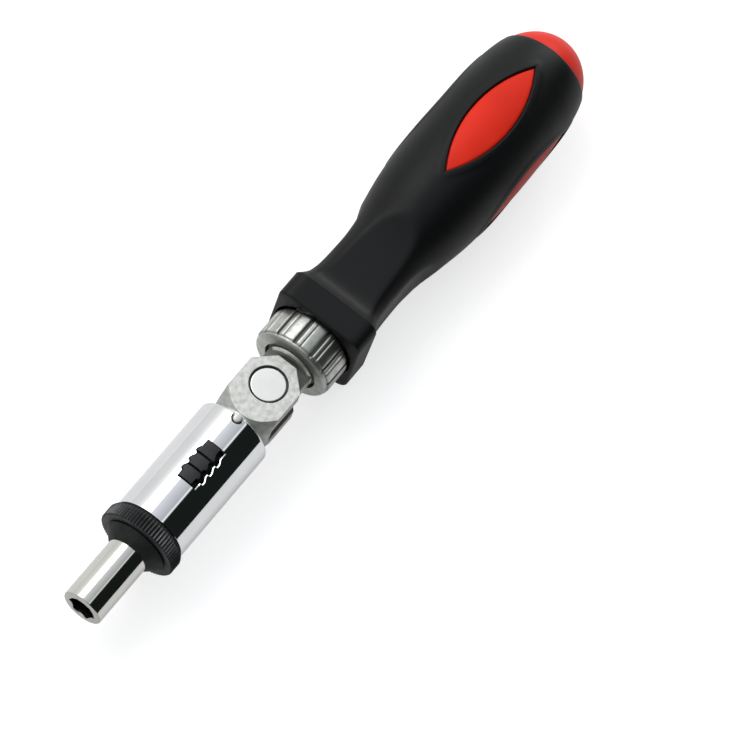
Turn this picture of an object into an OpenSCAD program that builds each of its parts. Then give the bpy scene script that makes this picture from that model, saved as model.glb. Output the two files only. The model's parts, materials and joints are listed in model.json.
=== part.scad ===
// Ratcheting screwdriver with a jointed head and a locking collar.
// The tool lies along X: the mouth of the bit socket is at the origin and the handle points to +X.
// The cross pin of the joint, the thumb button and one grip window face +Z.

/* [Bit socket] */
// Width across the flats of the hexagon mouth
hex_af = 6.4; // [6.3:0.05:6.6]
// Depth of the hexagon
hex_depth = 15; // [10:0.5:18]
// Outer diameter of the socket
socket_od = 10.4; // [9.6:0.1:10.8]
// Length of the socket in front of the spin ring
socket_len = 17.1; // [12:0.1:24]
// Diameter of the spindle behind the socket
spindle_d = 6; // [5:0.2:6.4]
// Diameter of the magnet behind the hexagon
magnet_d = 5.6; // [4:0.2:6]
// Thickness of the magnet
magnet_t = 3; // [2:0.5:5]

/* [Spin ring] */
// Outer diameter over the knurl
ring_od = 20.6; // [20:0.2:24]
// Length of the knurled band with the groove in front of it
ring_w = 4.7; // [4:0.1:8]
// Length of the coned hub in front of the groove
hub_len = 2.9; // [2:0.1:5]
// Diameter of the hub's large end
hub_od = 16.4; // [14:0.2:18]
// Number of knurl teeth
ring_teeth = 72; // [48:4:90]
// Depth of a knurl tooth
knurl_depth = 0.4; // [0.2:0.05:0.6]

/* [Barrel] */
// Outer diameter of the barrel
barrel_od = 18.9; // [18.5:0.1:19.8]
// Length of the barrel
barrel_len = 32.6; // [32:0.2:40]
// Wall of the barrel
barrel_wall = 1.45; // [1.2:0.05:1.6]
// Rounding of the barrel's rear rim
rim_round = 1; // [0.5:0.1:1.3]
// Diameter of the round-headed key in the rear rim
key_d = 2.6; // [1.8:0.1:2.8]

/* [Thumb button] */
// Length of the button
button_len = 11.1; // [10:0.1:12]
// Width of the button between its side teeth
button_w = 3.6; // [3:0.1:4]
// How far a side tooth stands out
button_tooth = 0.55; // [0.3:0.05:0.8]
// Distance from one side tooth to the next
tooth_pitch = 2.8; // [2.4:0.1:3]
// Distance from the barrel's front to the middle of the button
button_reach = 17.25; // [17:0.25:18]
// Turn of the button from the middle of its window to either end, in degrees
button_turn = 4; // [2:0.5:4]

/* [Ratchet] */
// Number of gear teeth
gear_teeth = 24; // [12:12:36]
// Diameter over the gear teeth
gear_od = 8.9; // [8.6:0.1:9]
// Depth of a gear tooth
gear_tooth = 0.75; // [0.5:0.05:0.9]
// Length of the gear
gear_len = 11; // [9:0.5:12]
// Length of a pawl
pawl_len = 7; // [5:0.5:8]
// Diameter of a pawl's pin
pawl_pin_d = 1.2; // [1:0.1:1.3]
// Distance of a pawl's pin from the tool's axis
pawl_reach = 5.9; // [5.8:0.05:6]

/* [Head joint] */
// Distance from the barrel's rear rim to the cross pin
pivot_reach = 11.7; // [11.5:0.1:14]
// Width of the hinge block
block_w = 14.5; // [14:0.1:15]
// Thickness of the hinge block over both ears
block_t = 14; // [13.5:0.1:14.5]
// Distance from the cross pin to the ears' ends
ear_end = 7.4; // [7.2:0.1:7.5]
// Width of the flat at an ear's end
ear_flat = 5.2; // [4.5:0.1:6]
// Gap between the ears
ear_gap = 6; // [5.6:0.1:6.4]
// Thickness of the shank's tongue between the ears
tongue_t = 5; // [4.6:0.1:5.2]
// Diameter of the cross pin
pin_d = 6; // [5:0.2:6.4]
// Diameter of the cross pin's heads
pin_head_d = 8.5; // [8:0.1:9]
// Height of the cross pin's heads
pin_head_t = 1.1; // [0.8:0.1:1.4]
// Gap around the heads in their recesses
head_gap = 0.5; // [0.3:0.05:0.6]

/* [Shank and lock collar] */
// Diameter of the shank
shank_d = 12.6; // [12:0.1:12.8]
// Diameter of the shank inside the handle
tang_d = 9; // [8:0.2:10]
// Length of the shank inside the handle
tang_len = 46; // [35:1:60]
// Distance from the cross pin to the shank's front face
shank_reach = 9.4; // [9:0.1:9.6]
// Distance from the cross pin to the collar's front face
collar_reach = 9.9; // [9.7:0.1:11]
// Outer diameter of the collar over its ribs
collar_od = 21.1; // [20.6:0.1:21.4]
// Length of the collar
collar_len = 9; // [8.8:0.1:10]
// Diameter of the collar's front opening
collar_mouth_d = 14.4; // [14:0.1:15]
// Number of rib pairs on the collar
collar_ribs = 13; // [10:1:16]
// Travel of the collar into the handle
collar_travel = 3; // [2:0.1:3]
// Diameter of the lock bolt
bolt_d = 3.1; // [2.6:0.1:3.2]

/* [Handle] */
// Length of the handle from its front to the domed end
handle_len = 103.5; // [100:0.5:120]
// Width of the square front across its flats
flare_w = 23.8; // [23.6:0.1:26]
// Length of the square front
flare_len = 7; // [6.5:0.1:9]
// Corner radius of the square front
flare_round = 3; // [2:0.1:4]
// Width of the neck across the thumb flats
neck_w = 18.6; // [18.4:0.1:20]
// Diameter of the neck over its corners
neck_d = 23; // [22:0.2:25]
// Length of the neck with its thumb flats
neck_len = 32.6; // [30:0.2:36]
// Largest diameter of the grip
bulge_d = 29.8; // [29:0.1:33]
// Diameter of the ellipsoid that forms the handle's end
end_d = 26.2; // [25.6:0.1:28]
// Depth of the ellipsoid that forms the handle's end
end_depth = 15; // [13:0.5:16]
// Length of the red dome beyond the soft grip
dome_len = 9.1; // [8:0.1:10]
// Length of a grip window
window_len = 37; // [30:0.5:40]
// Width of a grip window
window_w = 11; // [9:0.1:12]
// Distance from a grip window to the handle's end
window_end = 16.9; // [16:0.1:18]

/* [Hidden] */
$fn = 64;

// Clearances and overruns
run_fit = 0.05;
press_fit = 0.01;
axial_gap = 0.25;
loose_gap = 0.3;
cut_over = 1;

// Colours
chrome = [0.85, 0.86, 0.88];
zinc = [0.78, 0.79, 0.77];
steel = [0.62, 0.63, 0.65];
black = [0.14, 0.15, 0.16];
red = [0.80, 0.17, 0.12];
bronze = [0.72, 0.55, 0.32];

// Radii
socket_r = socket_od / 2;
spindle_r = spindle_d / 2;
barrel_r = barrel_od / 2;
bore_r = barrel_r - barrel_wall;
ring_r = ring_od / 2;
hub_r = hub_od / 2;
gear_r = gear_od / 2;
pin_r = pin_d / 2;
pin_head_r = pin_head_d / 2;
shank_r = shank_d / 2;
tang_r = tang_d / 2;
collar_r = collar_od / 2;
bulge_r = bulge_d / 2;
end_r = end_d / 2;
neck_r = neck_d / 2;

// Retaining clips
clip_t = 0.8;
clip_depth = 0.5;

// Places along the axis
hub_x = socket_len;
ring_x = hub_x + hub_len;
barrel_x = ring_x + ring_w + axial_gap;
barrel_end_x = barrel_x + barrel_len;
pivot_x = barrel_end_x + pivot_reach;
shank_x = pivot_x + shank_reach;
collar_x = pivot_x + collar_reach;
collar_end_x = collar_x + collar_len;
handle_x = collar_end_x - run_fit;
crease_x = handle_x + flare_len;
end_x = handle_x + handle_len;
rim_x = end_x - dome_len;
button_x = barrel_x + button_reach;

// Key between the barrel and the hinge block
key_inset = 0.8;
key_x = barrel_end_x - key_inset;
key_top = barrel_r - press_fit;
key_foot = 5.2;
key_dome = 0.5;

// Inside the barrel
bush_len = 3.2;
bush_wall = 1.4;
clip_reach = 0.9;
clip_x = barrel_x + bush_len + loose_gap;
shoulder_x = clip_x + clip_t + clip_reach;
carrier_x = shoulder_x + loose_gap;
plate_margin = 1.8;
plate_len = button_len + 2 * plate_margin;
carrier_end_x = button_x + plate_len / 2 + loose_gap;
carrier_len = carrier_end_x - carrier_x;
carrier_r = bore_r - press_fit;
spigot_x = carrier_end_x + axial_gap;
spigot_len = barrel_end_x - spigot_x;
gear_x = carrier_x + (carrier_len - gear_len) / 2 - clip_t;
pawl_x = gear_x + (gear_len - pawl_len) / 2;
rear_bush_len = 4.5;
spindle_end_x = spigot_x + rear_bush_len - loose_gap;

// Selector, which rests at the +Y end of its travel. A side tooth's outline is a list of
// [share of the pitch, share of the tooth's height]
tooth_share = [[-0.34, 0], [-0.24, 1], [-0.06, 1], [0.34, 0]];
plate_t = 0.42;
plate_r = bore_r - run_fit;
plate_angle = 30;
button_top_r = barrel_r + loose_gap;
button_slack = barrel_r * sin(button_turn) + run_fit;
cam_w = 0.8;
cam_r = 5.6;
ball_r = 0.8;
ball_top = plate_r - plate_t - run_fit;
ball_x = button_x + plate_len / 2 - plate_margin;

// Pawls, set out in the plane across the axis
pawl_angle = 68;
nose_angle = 30;
nose_r = gear_r - gear_tooth + 2 * run_fit;
nose_w = 0.7;
pawl_arm = 0.9;
pawl_skin = 0.7;
pocket_angle = 86;
pocket_r_out = carrier_r - pawl_skin;
eye_r = pocket_r_out - pawl_reach - 3 * run_fit;
eye_share = 0.8;
pawl_eye = pawl_reach * [sin(pawl_angle), cos(pawl_angle)];
nose_out = [sin(nose_angle), cos(nose_angle)];
nose_across = [cos(nose_angle), -sin(nose_angle)];
arm_foot = (gear_r + 3 * run_fit) * nose_out;
arm_top = arm_foot + pawl_arm * nose_out + nose_w * nose_across;
arm_back = pawl_eye + [0, eye_share * eye_r];
spring_wire = 0.22;
spring_r = 0.6;

// Lock
shoulder_r = sqrt(pow(block_w, 2) + pow(block_t, 2)) / 2;
foot_start = 5.8;
foot_middle = 8.7;
foot_middle_r = 8.3;
foot_end = 10.3;
foot_end_r = 6.9;
slot_depth = 7.4;
washer_t = 0.42;
tongue_r = 6.6;
pin_face = block_t / 2 - loose_gap;
bolt_r = bolt_d / 2;
notch_r = 0.6;
notch_count = 8;
bolt_x = pivot_x + pin_r + loose_gap;
web_front = 2;
web_t = 3.6;
web_x = collar_x + web_front;
clip_front_x = web_x - clip_t - axial_gap;
cross_d = 1.8;
cross_x = web_x + web_t / 2;
cross_len = 15.6;
bolt_end_x = cross_x + cross_d;
recess_r = collar_r + loose_gap;
recess_depth = collar_travel + 2 * loose_gap;
core_x = handle_x + recess_depth;
pocket_r = 8.1;
pocket_depth = 5.4;
seat_t = 0.7;
seat_x = core_x + pocket_depth;
coil_wire = 1.1;
coil_r = shank_r + loose_gap + coil_wire / 2;
coil_turns = 5;
coil_x = web_x + web_t;

// Handle shapes, as shares of the sizes that they follow
sides = 4;
core_neck_share = 0.66;
core_bulge_share = 0.79;
pocket_wall = 0.9;
neck_share = [[0, 1.34], [0.05, 1.21], [0.11, 1.12], [0.19, 1.06], [0.41, 1], [0.66, 0.995],
    [0.75, 1.01], [0.83, 1.035], [0.93, 1.08]];
bulge_share = [[0, 0.86], [0.075, 0.905], [0.153, 0.942], [0.27, 0.969], [0.42, 1], [0.55, 1],
    [0.67, 0.988], [0.79, 0.951], [0.87, 0.926], [0.95, 0.87]];
flat_share = [[0, 1.28], [0.05, 1.13], [0.1, 1.075], [0.21, 1.03], [0.35, 1.01], [0.45, 1.005],
    [0.57, 1.02], [0.69, 1.06], [0.78, 1.13], [0.86, 1.25], [0.93, 1.35], [1, 1.47]];
neck_end_x = crease_x + neck_len;
end_centre_x = end_x - end_depth;

function end_radius(x) = end_r * sqrt(max(0, 1 - pow((x - end_centre_x) / end_depth, 2)));
rim_r = end_radius(rim_x);
dome_steps = 12;
core_step = 0.35;
core_neck_r = core_neck_share * neck_r;
core_bulge_r = core_bulge_share * bulge_r;
dowel_x = neck_end_x - neck_len / 4;
dowel_r = 1.5;
dowel_len = 2 * (core_neck_r - loose_gap);
front_bevel = 0.6;

// Points of the soft grip's outline behind the crease, as [distance along X, radius]
neck_points = [for (p = neck_share) [crease_x + p[0] * neck_len, p[1] * neck_r]];
bulge_points = [for (p = bulge_share)
    [neck_end_x + p[0] * (rim_x - neck_end_x), p[1] * bulge_r]];
grip_points = concat(neck_points, bulge_points, [[rim_x, rim_r]]);
dome_points = concat([for (i = [0:dome_steps - 1]) let (a = i * 90 / dome_steps)
    [rim_x + dome_len * sin(a), end_radius(rim_x + dome_len * sin(a)) - core_step * cos(a)]],
    [[end_x, 0]]);

// Turns an outline of [distance along X, radius] points around the X axis
module revolve(points) {
    rotate([0, 90, 0]) rotate_extrude() polygon([for (p = points) [p[1], p[0]]]);
}

// Rod and tube along X
module rod(x, len, r) {
    translate([x, 0, 0]) rotate([0, 90, 0]) cylinder(h = len, r = r);
}

module tube(x, len, r_out, r_in) {
    difference() {
        rod(x, len, r_out);
        rod(x - cut_over, len + 2 * cut_over, r_in);
    }
}

// Extrudes a flat shape, drawn in Y and Z, along X
module along_x(x, len) {
    translate([x, 0, 0]) rotate([90, 0, 90]) linear_extrude(len) children();
}

// Coil spring along Z, one round wire swept along a helix
module coil(r, wire, len, turns, steps = 14) {
    edges = 6;
    rings = turns * steps;
    rise = (len - wire) / rings;
    points = [for (i = [0:rings], j = [0:edges - 1])
        let (a = i * 360 / steps, b = j * 360 / edges, d = r + wire / 2 * cos(b))
        [d * cos(a), d * sin(a), wire / 2 + i * rise + wire / 2 * sin(b)]];
    walls = [for (i = [0:rings - 1], j = [0:edges - 1])
        let (k = (j + 1) % edges)
        [i * edges + j, (i + 1) * edges + j, (i + 1) * edges + k, i * edges + k]];
    first_cap = [for (j = [0:edges - 1]) j];
    last_cap = [for (j = [edges - 1:-1:0]) rings * edges + j];
    polyhedron(points, concat(walls, [first_cap], [last_cap]), convexity = 8);
}

// Spindle: bit socket, spin ring, gear, magnet and clip turn together

module bit_socket() {
    lip = 0.6;
    hex_r = hex_af / sqrt(3);
    color(chrome) difference() {
        revolve([[0, 0], [0, socket_r - lip], [lip / 3, socket_r - lip / 3], [lip, socket_r],
            [clip_x, socket_r], [clip_x, socket_r - clip_depth],
            [clip_x + clip_t, socket_r - clip_depth], [clip_x + clip_t, socket_r],
            [shoulder_x, socket_r], [shoulder_x, spindle_r], [spindle_end_x, spindle_r],
            [spindle_end_x, 0]]);
        translate([-cut_over, 0, 0]) rotate([0, 90, 0]) rotate([0, 0, 30])
            cylinder(h = hex_depth + cut_over, r = hex_r, $fn = 6);
        rod(hex_depth - cut_over, magnet_t + cut_over, magnet_d / 2);
        revolve([[-cut_over, 0], [-cut_over, hex_r + cut_over], [lip, hex_r - lip], [lip, 0]]);
    }
}

module bit_magnet() {
    color(steel) rod(hex_depth, magnet_t, magnet_d / 2);
}

module spin_ring() {
    foot = 0.35;
    foot_r = socket_r + foot;
    groove_w = 0.3;
    groove_r = hub_r - 2 * groove_w;
    front_edge = 0.25;
    rear_drop = 0.8;
    rear_len = 1.2;
    band_x = ring_x + groove_w;
    end_of_ring = ring_x + ring_w;
    valley_r = ring_r - knurl_depth;
    step = 360 / ring_teeth;
    color(black) difference() {
        intersection() {
            along_x(hub_x - cut_over, hub_len + ring_w + 2 * cut_over)
                polygon([for (i = [0:ring_teeth - 1], k = [0, 1])
                    let (a = (i + k / 2) * step, r = k == 0 ? ring_r + foot : valley_r)
                    [r * cos(a), r * sin(a)]]);
            revolve([[hub_x, 0], [hub_x, foot_r], [ring_x, hub_r], [ring_x, groove_r],
                [band_x, groove_r], [band_x, ring_r - front_edge], [band_x + front_edge, ring_r],
                [end_of_ring - rear_len, ring_r], [end_of_ring, ring_r - rear_drop],
                [end_of_ring, 0]]);
        }
        rod(hub_x - cut_over, hub_len + ring_w + 2 * cut_over, socket_r);
    }
}

module ratchet_gear() {
    step = 360 / gear_teeth;
    color(steel) difference() {
        along_x(gear_x, gear_len) polygon([for (i = [0:gear_teeth - 1], k = [0, 1])
            let (a = (i + k / 2) * step, r = k == 0 ? gear_r - gear_tooth : gear_r)
            [r * sin(a), r * cos(a)]]);
        rod(gear_x - cut_over, gear_len + 2 * cut_over, spindle_r);
    }
}

module spindle_clip() {
    color(steel) tube(clip_x + run_fit, clip_t - 2 * run_fit, socket_r + clip_reach,
        socket_r - clip_depth);
}

// Head: barrel and hinge block with what they hold

// Outline of the thumb button, or of its window with gaps around it
module button_outline(side_gap, end_gap) {
    half = button_w / 2 + side_gap;
    end = button_len / 2 + end_gap;
    gaps = [-end_gap, -end_gap, end_gap, end_gap];
    edge = concat([[-end, half]], [for (i = [-1:1], k = [0:3])
        [(i + tooth_share[k][0]) * tooth_pitch + gaps[k], half + tooth_share[k][1] * button_tooth]],
        [[end, half]]);
    count = len(edge);
    polygon(concat(edge, [for (i = [0:count - 1]) let (p = edge[count - 1 - i]) [p[0], -p[1]]]));
}

module barrel() {
    notch_r_key = key_d / 2 + loose_gap;
    color(chrome) difference() {
        revolve([[barrel_x, 0], [barrel_x, barrel_r - axial_gap], [barrel_x + axial_gap, barrel_r],
            [barrel_end_x - rim_round, barrel_r],
            for (a = [15:15:75]) [barrel_end_x - rim_round * (1 - sin(a)),
                barrel_r - rim_round * (1 - cos(a))],
            [barrel_end_x, barrel_r - rim_round], [barrel_end_x, 0]]);
        rod(barrel_x - cut_over, barrel_len, socket_r + bush_wall + run_fit);
        rod(barrel_x + bush_len, barrel_len, bore_r);
        rotate([button_turn, 0, 0]) translate([button_x, 0, 0]) linear_extrude(barrel_od)
            button_outline(button_slack, axial_gap / 2);
        translate([key_x, 0, 0]) cylinder(h = barrel_od, r = notch_r_key);
    }
}

module barrel_key() {
    dome_r = key_d / 2 + key_dome;
    color(zinc) intersection() {
        translate([key_x, 0, key_foot]) cylinder(h = key_top - key_foot, r = key_d / 2);
        translate([key_x, 0, key_top - dome_r]) sphere(r = dome_r);
    }
}

module front_bush() {
    color(bronze) tube(barrel_x, bush_len, socket_r + bush_wall, socket_r + run_fit);
}

module rear_bush() {
    color(bronze) tube(spigot_x, rear_bush_len, spindle_r + bush_wall, spindle_r + run_fit);
}

// Ring sector around X between two radii, spread to both sides of +Z
module sector(x, len, r_out, r_in, angle) {
    reach = 2 * r_out / cos(angle);
    along_x(x, len) difference() {
        intersection() {
            circle(r = r_out);
            polygon([[0, 0], [-reach * sin(angle), reach * cos(angle)],
                [reach * sin(angle), reach * cos(angle)]]);
        }
        circle(r = r_in);
    }
}

module pawl_carrier() {
    pocket_len = pawl_len + 2 * loose_gap;
    recess_angle = plate_angle + 3 * button_turn;
    slot_angle = 3 * button_turn;
    color(steel) difference() {
        tube(carrier_x, carrier_len, carrier_r, gear_r + loose_gap);
        sector(pawl_x - loose_gap, pocket_len, pocket_r_out, 0, pocket_angle);
        sector(button_x - plate_len / 2 - loose_gap, plate_len + 2 * loose_gap,
            carrier_r + cut_over, ball_top, recess_angle);
        sector(pawl_x - loose_gap, pocket_len, carrier_r, 0, slot_angle);
        for (s = [-1, 1]) pawl_pin_place(s)
            rod(pawl_x - 2 * cut_over, pawl_len + 4 * cut_over, pawl_pin_d / 2);
        translate([ball_x, 0, gear_r]) cylinder(h = barrel_r, r = ball_r + run_fit);
    }
}

// Places its children at the pin of the pawl on one side, +1 or -1
module pawl_pin_place(side) {
    translate([0, side * pawl_reach * sin(pawl_angle), pawl_reach * cos(pawl_angle)]) children();
}

module pawl_pins() {
    color(steel) for (s = [-1, 1]) pawl_pin_place(s)
        rod(pawl_x - 2 * cut_over, pawl_len + 4 * cut_over, pawl_pin_d / 2);
}

// One pawl, drawn for the +Y side: an eye on its pin and an arm with a nose in the gear
module pawl(side) {
    color(steel) along_x(pawl_x, pawl_len) mirror([side > 0 ? 0 : 1, 0, 0]) difference() {
        union() {
            translate(pawl_eye) circle(r = eye_r);
            polygon([nose_r * nose_out, arm_foot + nose_w / 2 * nose_across,
                pawl_eye - [0, eye_share * eye_r], arm_back, arm_top,
                arm_top - 3 / 2 * nose_w * nose_across, arm_foot - nose_w / 2 * nose_across]);
        }
        translate(pawl_eye) circle(r = pawl_pin_d / 2 + run_fit);
    }
}

module pawl_forward() {
    pawl(1);
}

module pawl_reverse() {
    pawl(-1);
}

// Spring of one pawl: it stands on the arm's back and reaches the pocket's wall
module pawl_spring(side) {
    seat = (arm_back + arm_top) / 2;
    slope = arm_back - arm_top;
    lean = atan2(-slope[1], slope[0]);
    rise = seat[0] * sin(lean) + seat[1] * cos(lean);
    reach = sqrt(pow(rise, 2) + pow(pocket_r_out, 2) - pow(norm(seat), 2)) - rise;
    color(steel) translate([pawl_x + pawl_len / 2, side * seat[0], seat[1]])
        rotate([-side * lean, 0, 0]) coil(spring_r, spring_wire, reach - 2 * run_fit, 3, 10);
}

module pawl_spring_forward() {
    pawl_spring(1);
}

module pawl_spring_reverse() {
    pawl_spring(-1);
}

module detent_ball() {
    color(steel) translate([ball_x, 0, ball_top - ball_r]) sphere(r = ball_r);
}

module detent_spring() {
    floor_z = gear_r + loose_gap;
    color(steel) translate([ball_x, 0, floor_z])
        coil(ball_r - spring_wire, spring_wire, ball_top - 2 * ball_r - floor_z, 2, 10);
}

module hinge_block() {
    half_w = block_w / 2;
    end_half = ear_flat / 2;
    bevel_x = ear_end - (half_w - end_half);
    color(zinc) difference() {
        union() {
            rod(spigot_x, spigot_len, bore_r - press_fit);
            intersection() {
                revolve([[barrel_end_x - spigot_len / 2, 0],
                    [barrel_end_x - spigot_len / 2, foot_end_r],
                    [pivot_x - foot_end, foot_end_r], [pivot_x - foot_middle, foot_middle_r],
                    [pivot_x - foot_start, shoulder_r], [pivot_x + ear_end, shoulder_r],
                    [pivot_x + ear_end, 0]]);
                translate([0, 0, -block_t / 2]) linear_extrude(block_t) polygon([
                    [spigot_x, -half_w], [pivot_x + bevel_x, -half_w],
                    [pivot_x + ear_end, -end_half], [pivot_x + ear_end, end_half],
                    [pivot_x + bevel_x, half_w], [spigot_x, half_w]]);
            }
        }
        for (m = [0, 1]) mirror([0, 0, m]) translate([pivot_x, 0, pin_face - pin_head_t])
            cylinder(h = block_t, r = pin_head_r + head_gap);
        translate([pivot_x, 0, -block_t]) cylinder(h = 2 * block_t, r = pin_r + press_fit);
        translate([pivot_x - slot_depth, -block_w, -ear_gap / 2])
            cube([slot_depth + 2 * ear_end, 2 * block_w, ear_gap]);
        rod(spigot_x - cut_over, rear_bush_len + cut_over, spindle_r + bush_wall);
        translate([key_x, 0, key_foot]) cylinder(h = barrel_od, r = key_d / 2);
    }
}

module pivot_pin() {
    color(zinc) translate([pivot_x, 0, 0]) difference() {
        union() {
            translate([0, 0, pin_face - pin_head_t]) cylinder(h = pin_head_t, r = pin_head_r);
            translate([0, 0, -pin_face + pin_head_t / 2])
                cylinder(h = 2 * pin_face - pin_head_t, r = pin_r);
        }
        for (i = [0:notch_count - 1]) rotate([0, 0, i * 360 / notch_count])
            translate([pin_r + notch_r / 3, 0, -bolt_r])
                cylinder(h = 2 * bolt_r, r = notch_r);
    }
}

module pivot_cap() {
    color(zinc) translate([pivot_x, 0, -pin_face]) difference() {
        cylinder(h = pin_head_t, r = pin_head_r);
        translate([0, 0, pin_head_t / 2]) cylinder(h = pin_head_t, r = pin_r);
    }
}

module pivot_washers() {
    washer_gap = (ear_gap - tongue_t) / 2 - washer_t;
    color(bronze) for (m = [0, 1]) mirror([0, 0, m])
        translate([pivot_x, 0, tongue_t / 2 + washer_gap]) difference() {
            cylinder(h = washer_t, r = tongue_r);
            translate([0, 0, -cut_over]) cylinder(h = washer_t + 2 * cut_over, r = pin_r);
        }
}

// Selector: the thumb button and the plate that it stands on turn about the axis

module selector_button() {
    groove_w = 0.6;
    groove_depth = 0.5;
    pad_pitch = button_len / 3;
    color(black) difference() {
        intersection() {
            translate([button_x, 0, 0]) linear_extrude(barrel_od) button_outline(0, 0);
            tube(button_x - button_len, 2 * button_len, button_top_r, plate_r);
        }
        for (s = [-1, 1]) translate([button_x + s * pad_pitch / 2 - groove_w / 2, -button_w,
            button_top_r - groove_depth]) cube([groove_w, 2 * button_w, button_w]);
    }
}

module selector_plate() {
    dimple_r = 0.5;
    color(steel) union() {
        difference() {
            sector(button_x - plate_len / 2, plate_len, plate_r, plate_r - plate_t, plate_angle);
            for (i = [0:2]) rotate([-i * button_turn, 0, 0])
                translate([ball_x, 0, ball_top - dimple_r + run_fit]) sphere(r = dimple_r);
        }
        rotate([-button_turn, 0, 0]) translate([pawl_x + pawl_len / 2 - cam_w, -cam_w / 2, cam_r])
            cube([2 * cam_w, cam_w, plate_r - plate_t / 2 - cam_r]);
    }
}

// Collar: slides back into the handle and draws the lock bolt off the cross pin

module lock_collar() {
    nose = 0.9;
    nose_drop = 0.5;
    step = 360 / collar_ribs;
    deep_w = 0.7;
    deep = 0.75;
    fine_w = 0.3;
    fine = 0.2;
    fine_share = 0.34;
    first = -7.4;
    color(zinc) difference() {
        revolve([[collar_x, 0], [collar_x, collar_r - nose_drop - nose],
            [collar_x + nose_drop, collar_r - nose_drop], [collar_x + nose, collar_r],
            [collar_end_x - nose, collar_r], [collar_end_x, collar_r - nose_drop],
            [collar_end_x, 0]]);
        rod(collar_x - cut_over, collar_len + 2 * cut_over, shank_r + run_fit);
        rod(collar_x - cut_over, web_front + cut_over, collar_mouth_d / 2);
        rod(web_x + web_t, collar_len, pocket_r);
        for (i = [0:collar_ribs - 1]) rotate([first + i * step, 0, 0]) {
            translate([collar_x - cut_over, -deep_w / 2, collar_r - deep])
                cube([collar_len + 2 * cut_over, deep_w, collar_r]);
            rotate([fine_share * step, 0, 0])
                translate([collar_x - cut_over, -fine_w / 2, collar_r - fine])
                    cube([collar_len + 2 * cut_over, fine_w, collar_r]);
        }
        translate([cross_x, 0, -cross_len / 2]) cylinder(h = cross_len, r = cross_d / 2);
    }
}

module collar_pin() {
    color(steel) translate([cross_x, 0, -cross_len / 2]) cylinder(h = cross_len, r = cross_d / 2);
}

module lock_bolt() {
    point = 0.7;
    color(steel) difference() {
        revolve([[bolt_x, 0], [bolt_x, bolt_r - point], [bolt_x + point, bolt_r],
            [bolt_end_x, bolt_r], [bolt_end_x, 0]]);
        translate([cross_x, 0, -cross_len / 2]) cylinder(h = cross_len, r = cross_d / 2);
    }
}

// Handle: shank, core and grip

module shank() {
    slot_w = cross_d + 2 * run_fit;
    slot_len = collar_travel + cross_d + 2 * axial_gap;
    tang_x = seat_x + cut_over;
    color(zinc) difference() {
        union() {
            revolve([[shank_x, 0], [shank_x, shank_r - axial_gap],
                [shank_x + axial_gap, shank_r], [clip_front_x, shank_r],
                [clip_front_x, shank_r - clip_depth],
                [clip_front_x + clip_t, shank_r - clip_depth], [clip_front_x + clip_t, shank_r],
                [tang_x, shank_r], [tang_x, tang_r], [tang_x + tang_len, tang_r],
                [tang_x + tang_len, 0]]);
            translate([pivot_x, 0, -tongue_t / 2]) cylinder(h = tongue_t, r = tongue_r - loose_gap);
            translate([pivot_x, -shank_r + loose_gap, -tongue_t / 2])
                cube([shank_reach + axial_gap, shank_d - 2 * loose_gap, tongue_t]);
        }
        translate([pivot_x, 0, -tongue_t]) cylinder(h = 2 * tongue_t, r = pin_r + run_fit);
        rod(pivot_x, bolt_end_x - pivot_x + collar_travel + cut_over, bolt_r + run_fit);
        translate([cross_x - cross_d / 2 - axial_gap, -slot_w / 2, -shank_d])
            cube([slot_len, slot_w, 2 * shank_d]);
        translate([dowel_x, 0, -dowel_len / 2]) cylinder(h = dowel_len, r = dowel_r);
    }
}

module shank_clip() {
    color(black) tube(clip_front_x + run_fit, clip_t - 2 * run_fit,
        collar_mouth_d / 2 - axial_gap, shank_r - clip_depth);
}

module collar_spring() {
    color(steel) translate([coil_x, 0, 0]) rotate([0, 90, 0])
        coil(coil_r, coil_wire, seat_x - seat_t - coil_x, coil_turns, 20);
}

module spring_seat() {
    color(steel) tube(seat_x - seat_t, seat_t, pocket_r, shank_r);
}

module shank_dowel() {
    color(steel) translate([dowel_x, 0, -dowel_len / 2]) cylinder(h = dowel_len, r = dowel_r);
}

// Turns a revolved body of the handle so that its start lies between two sides
module turn_body() {
    rotate([180 / sides, 0, 0]) children();
}

// Lens-shaped prism of one grip window, standing on the axis towards +Z
module window_prism() {
    half = window_len / 2;
    arc_r = (pow(half, 2) + pow(window_w / 2, 2)) / window_w;
    shift = arc_r - window_w / 2;
    translate([end_x - window_end - half, 0, 0]) linear_extrude(bulge_d) intersection() {
        translate([0, -shift]) circle(r = arc_r);
        translate([0, shift]) circle(r = arc_r);
    }
}

// Body of the core: a stepped rod under the grip that ends in the dome
module core_body() {
    step_x = seat_x + tang_r / 3;
    turn_body() revolve(concat([[core_x, 0], [core_x, pocket_r + pocket_wall],
        [seat_x, pocket_r + pocket_wall],
        [step_x, core_neck_r], [neck_end_x - neck_len / 4, core_neck_r],
        [neck_end_x + neck_len / 4, core_bulge_r], [rim_x - dome_len, core_bulge_r],
        [rim_x - dome_len / 2, rim_r - 2 * core_step], [rim_x, rim_r - 2 * core_step]],
        dome_points));
}

module handle_core() {
    color(red) difference() {
        union() {
            core_body();
            intersection() {
                for (i = [0:sides - 1]) rotate([i * 360 / sides, 0, 0]) window_prism();
                turn_body() revolve(concat([[neck_end_x, 0]], [for (p = bulge_points)
                    [p[0], p[1] - core_step]], [[rim_x - dome_len / 2, 0]]));
            }
        }
        rod(core_x - cut_over, pocket_depth + cut_over, pocket_r);
        rod(core_x, seat_x + cut_over - core_x, shank_r + press_fit);
        rod(core_x, seat_x + cut_over - core_x + tang_len, tang_r + press_fit);
        translate([dowel_x, 0, -dowel_len]) cylinder(h = 2 * dowel_len, r = dowel_r);
    }
}

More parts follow.
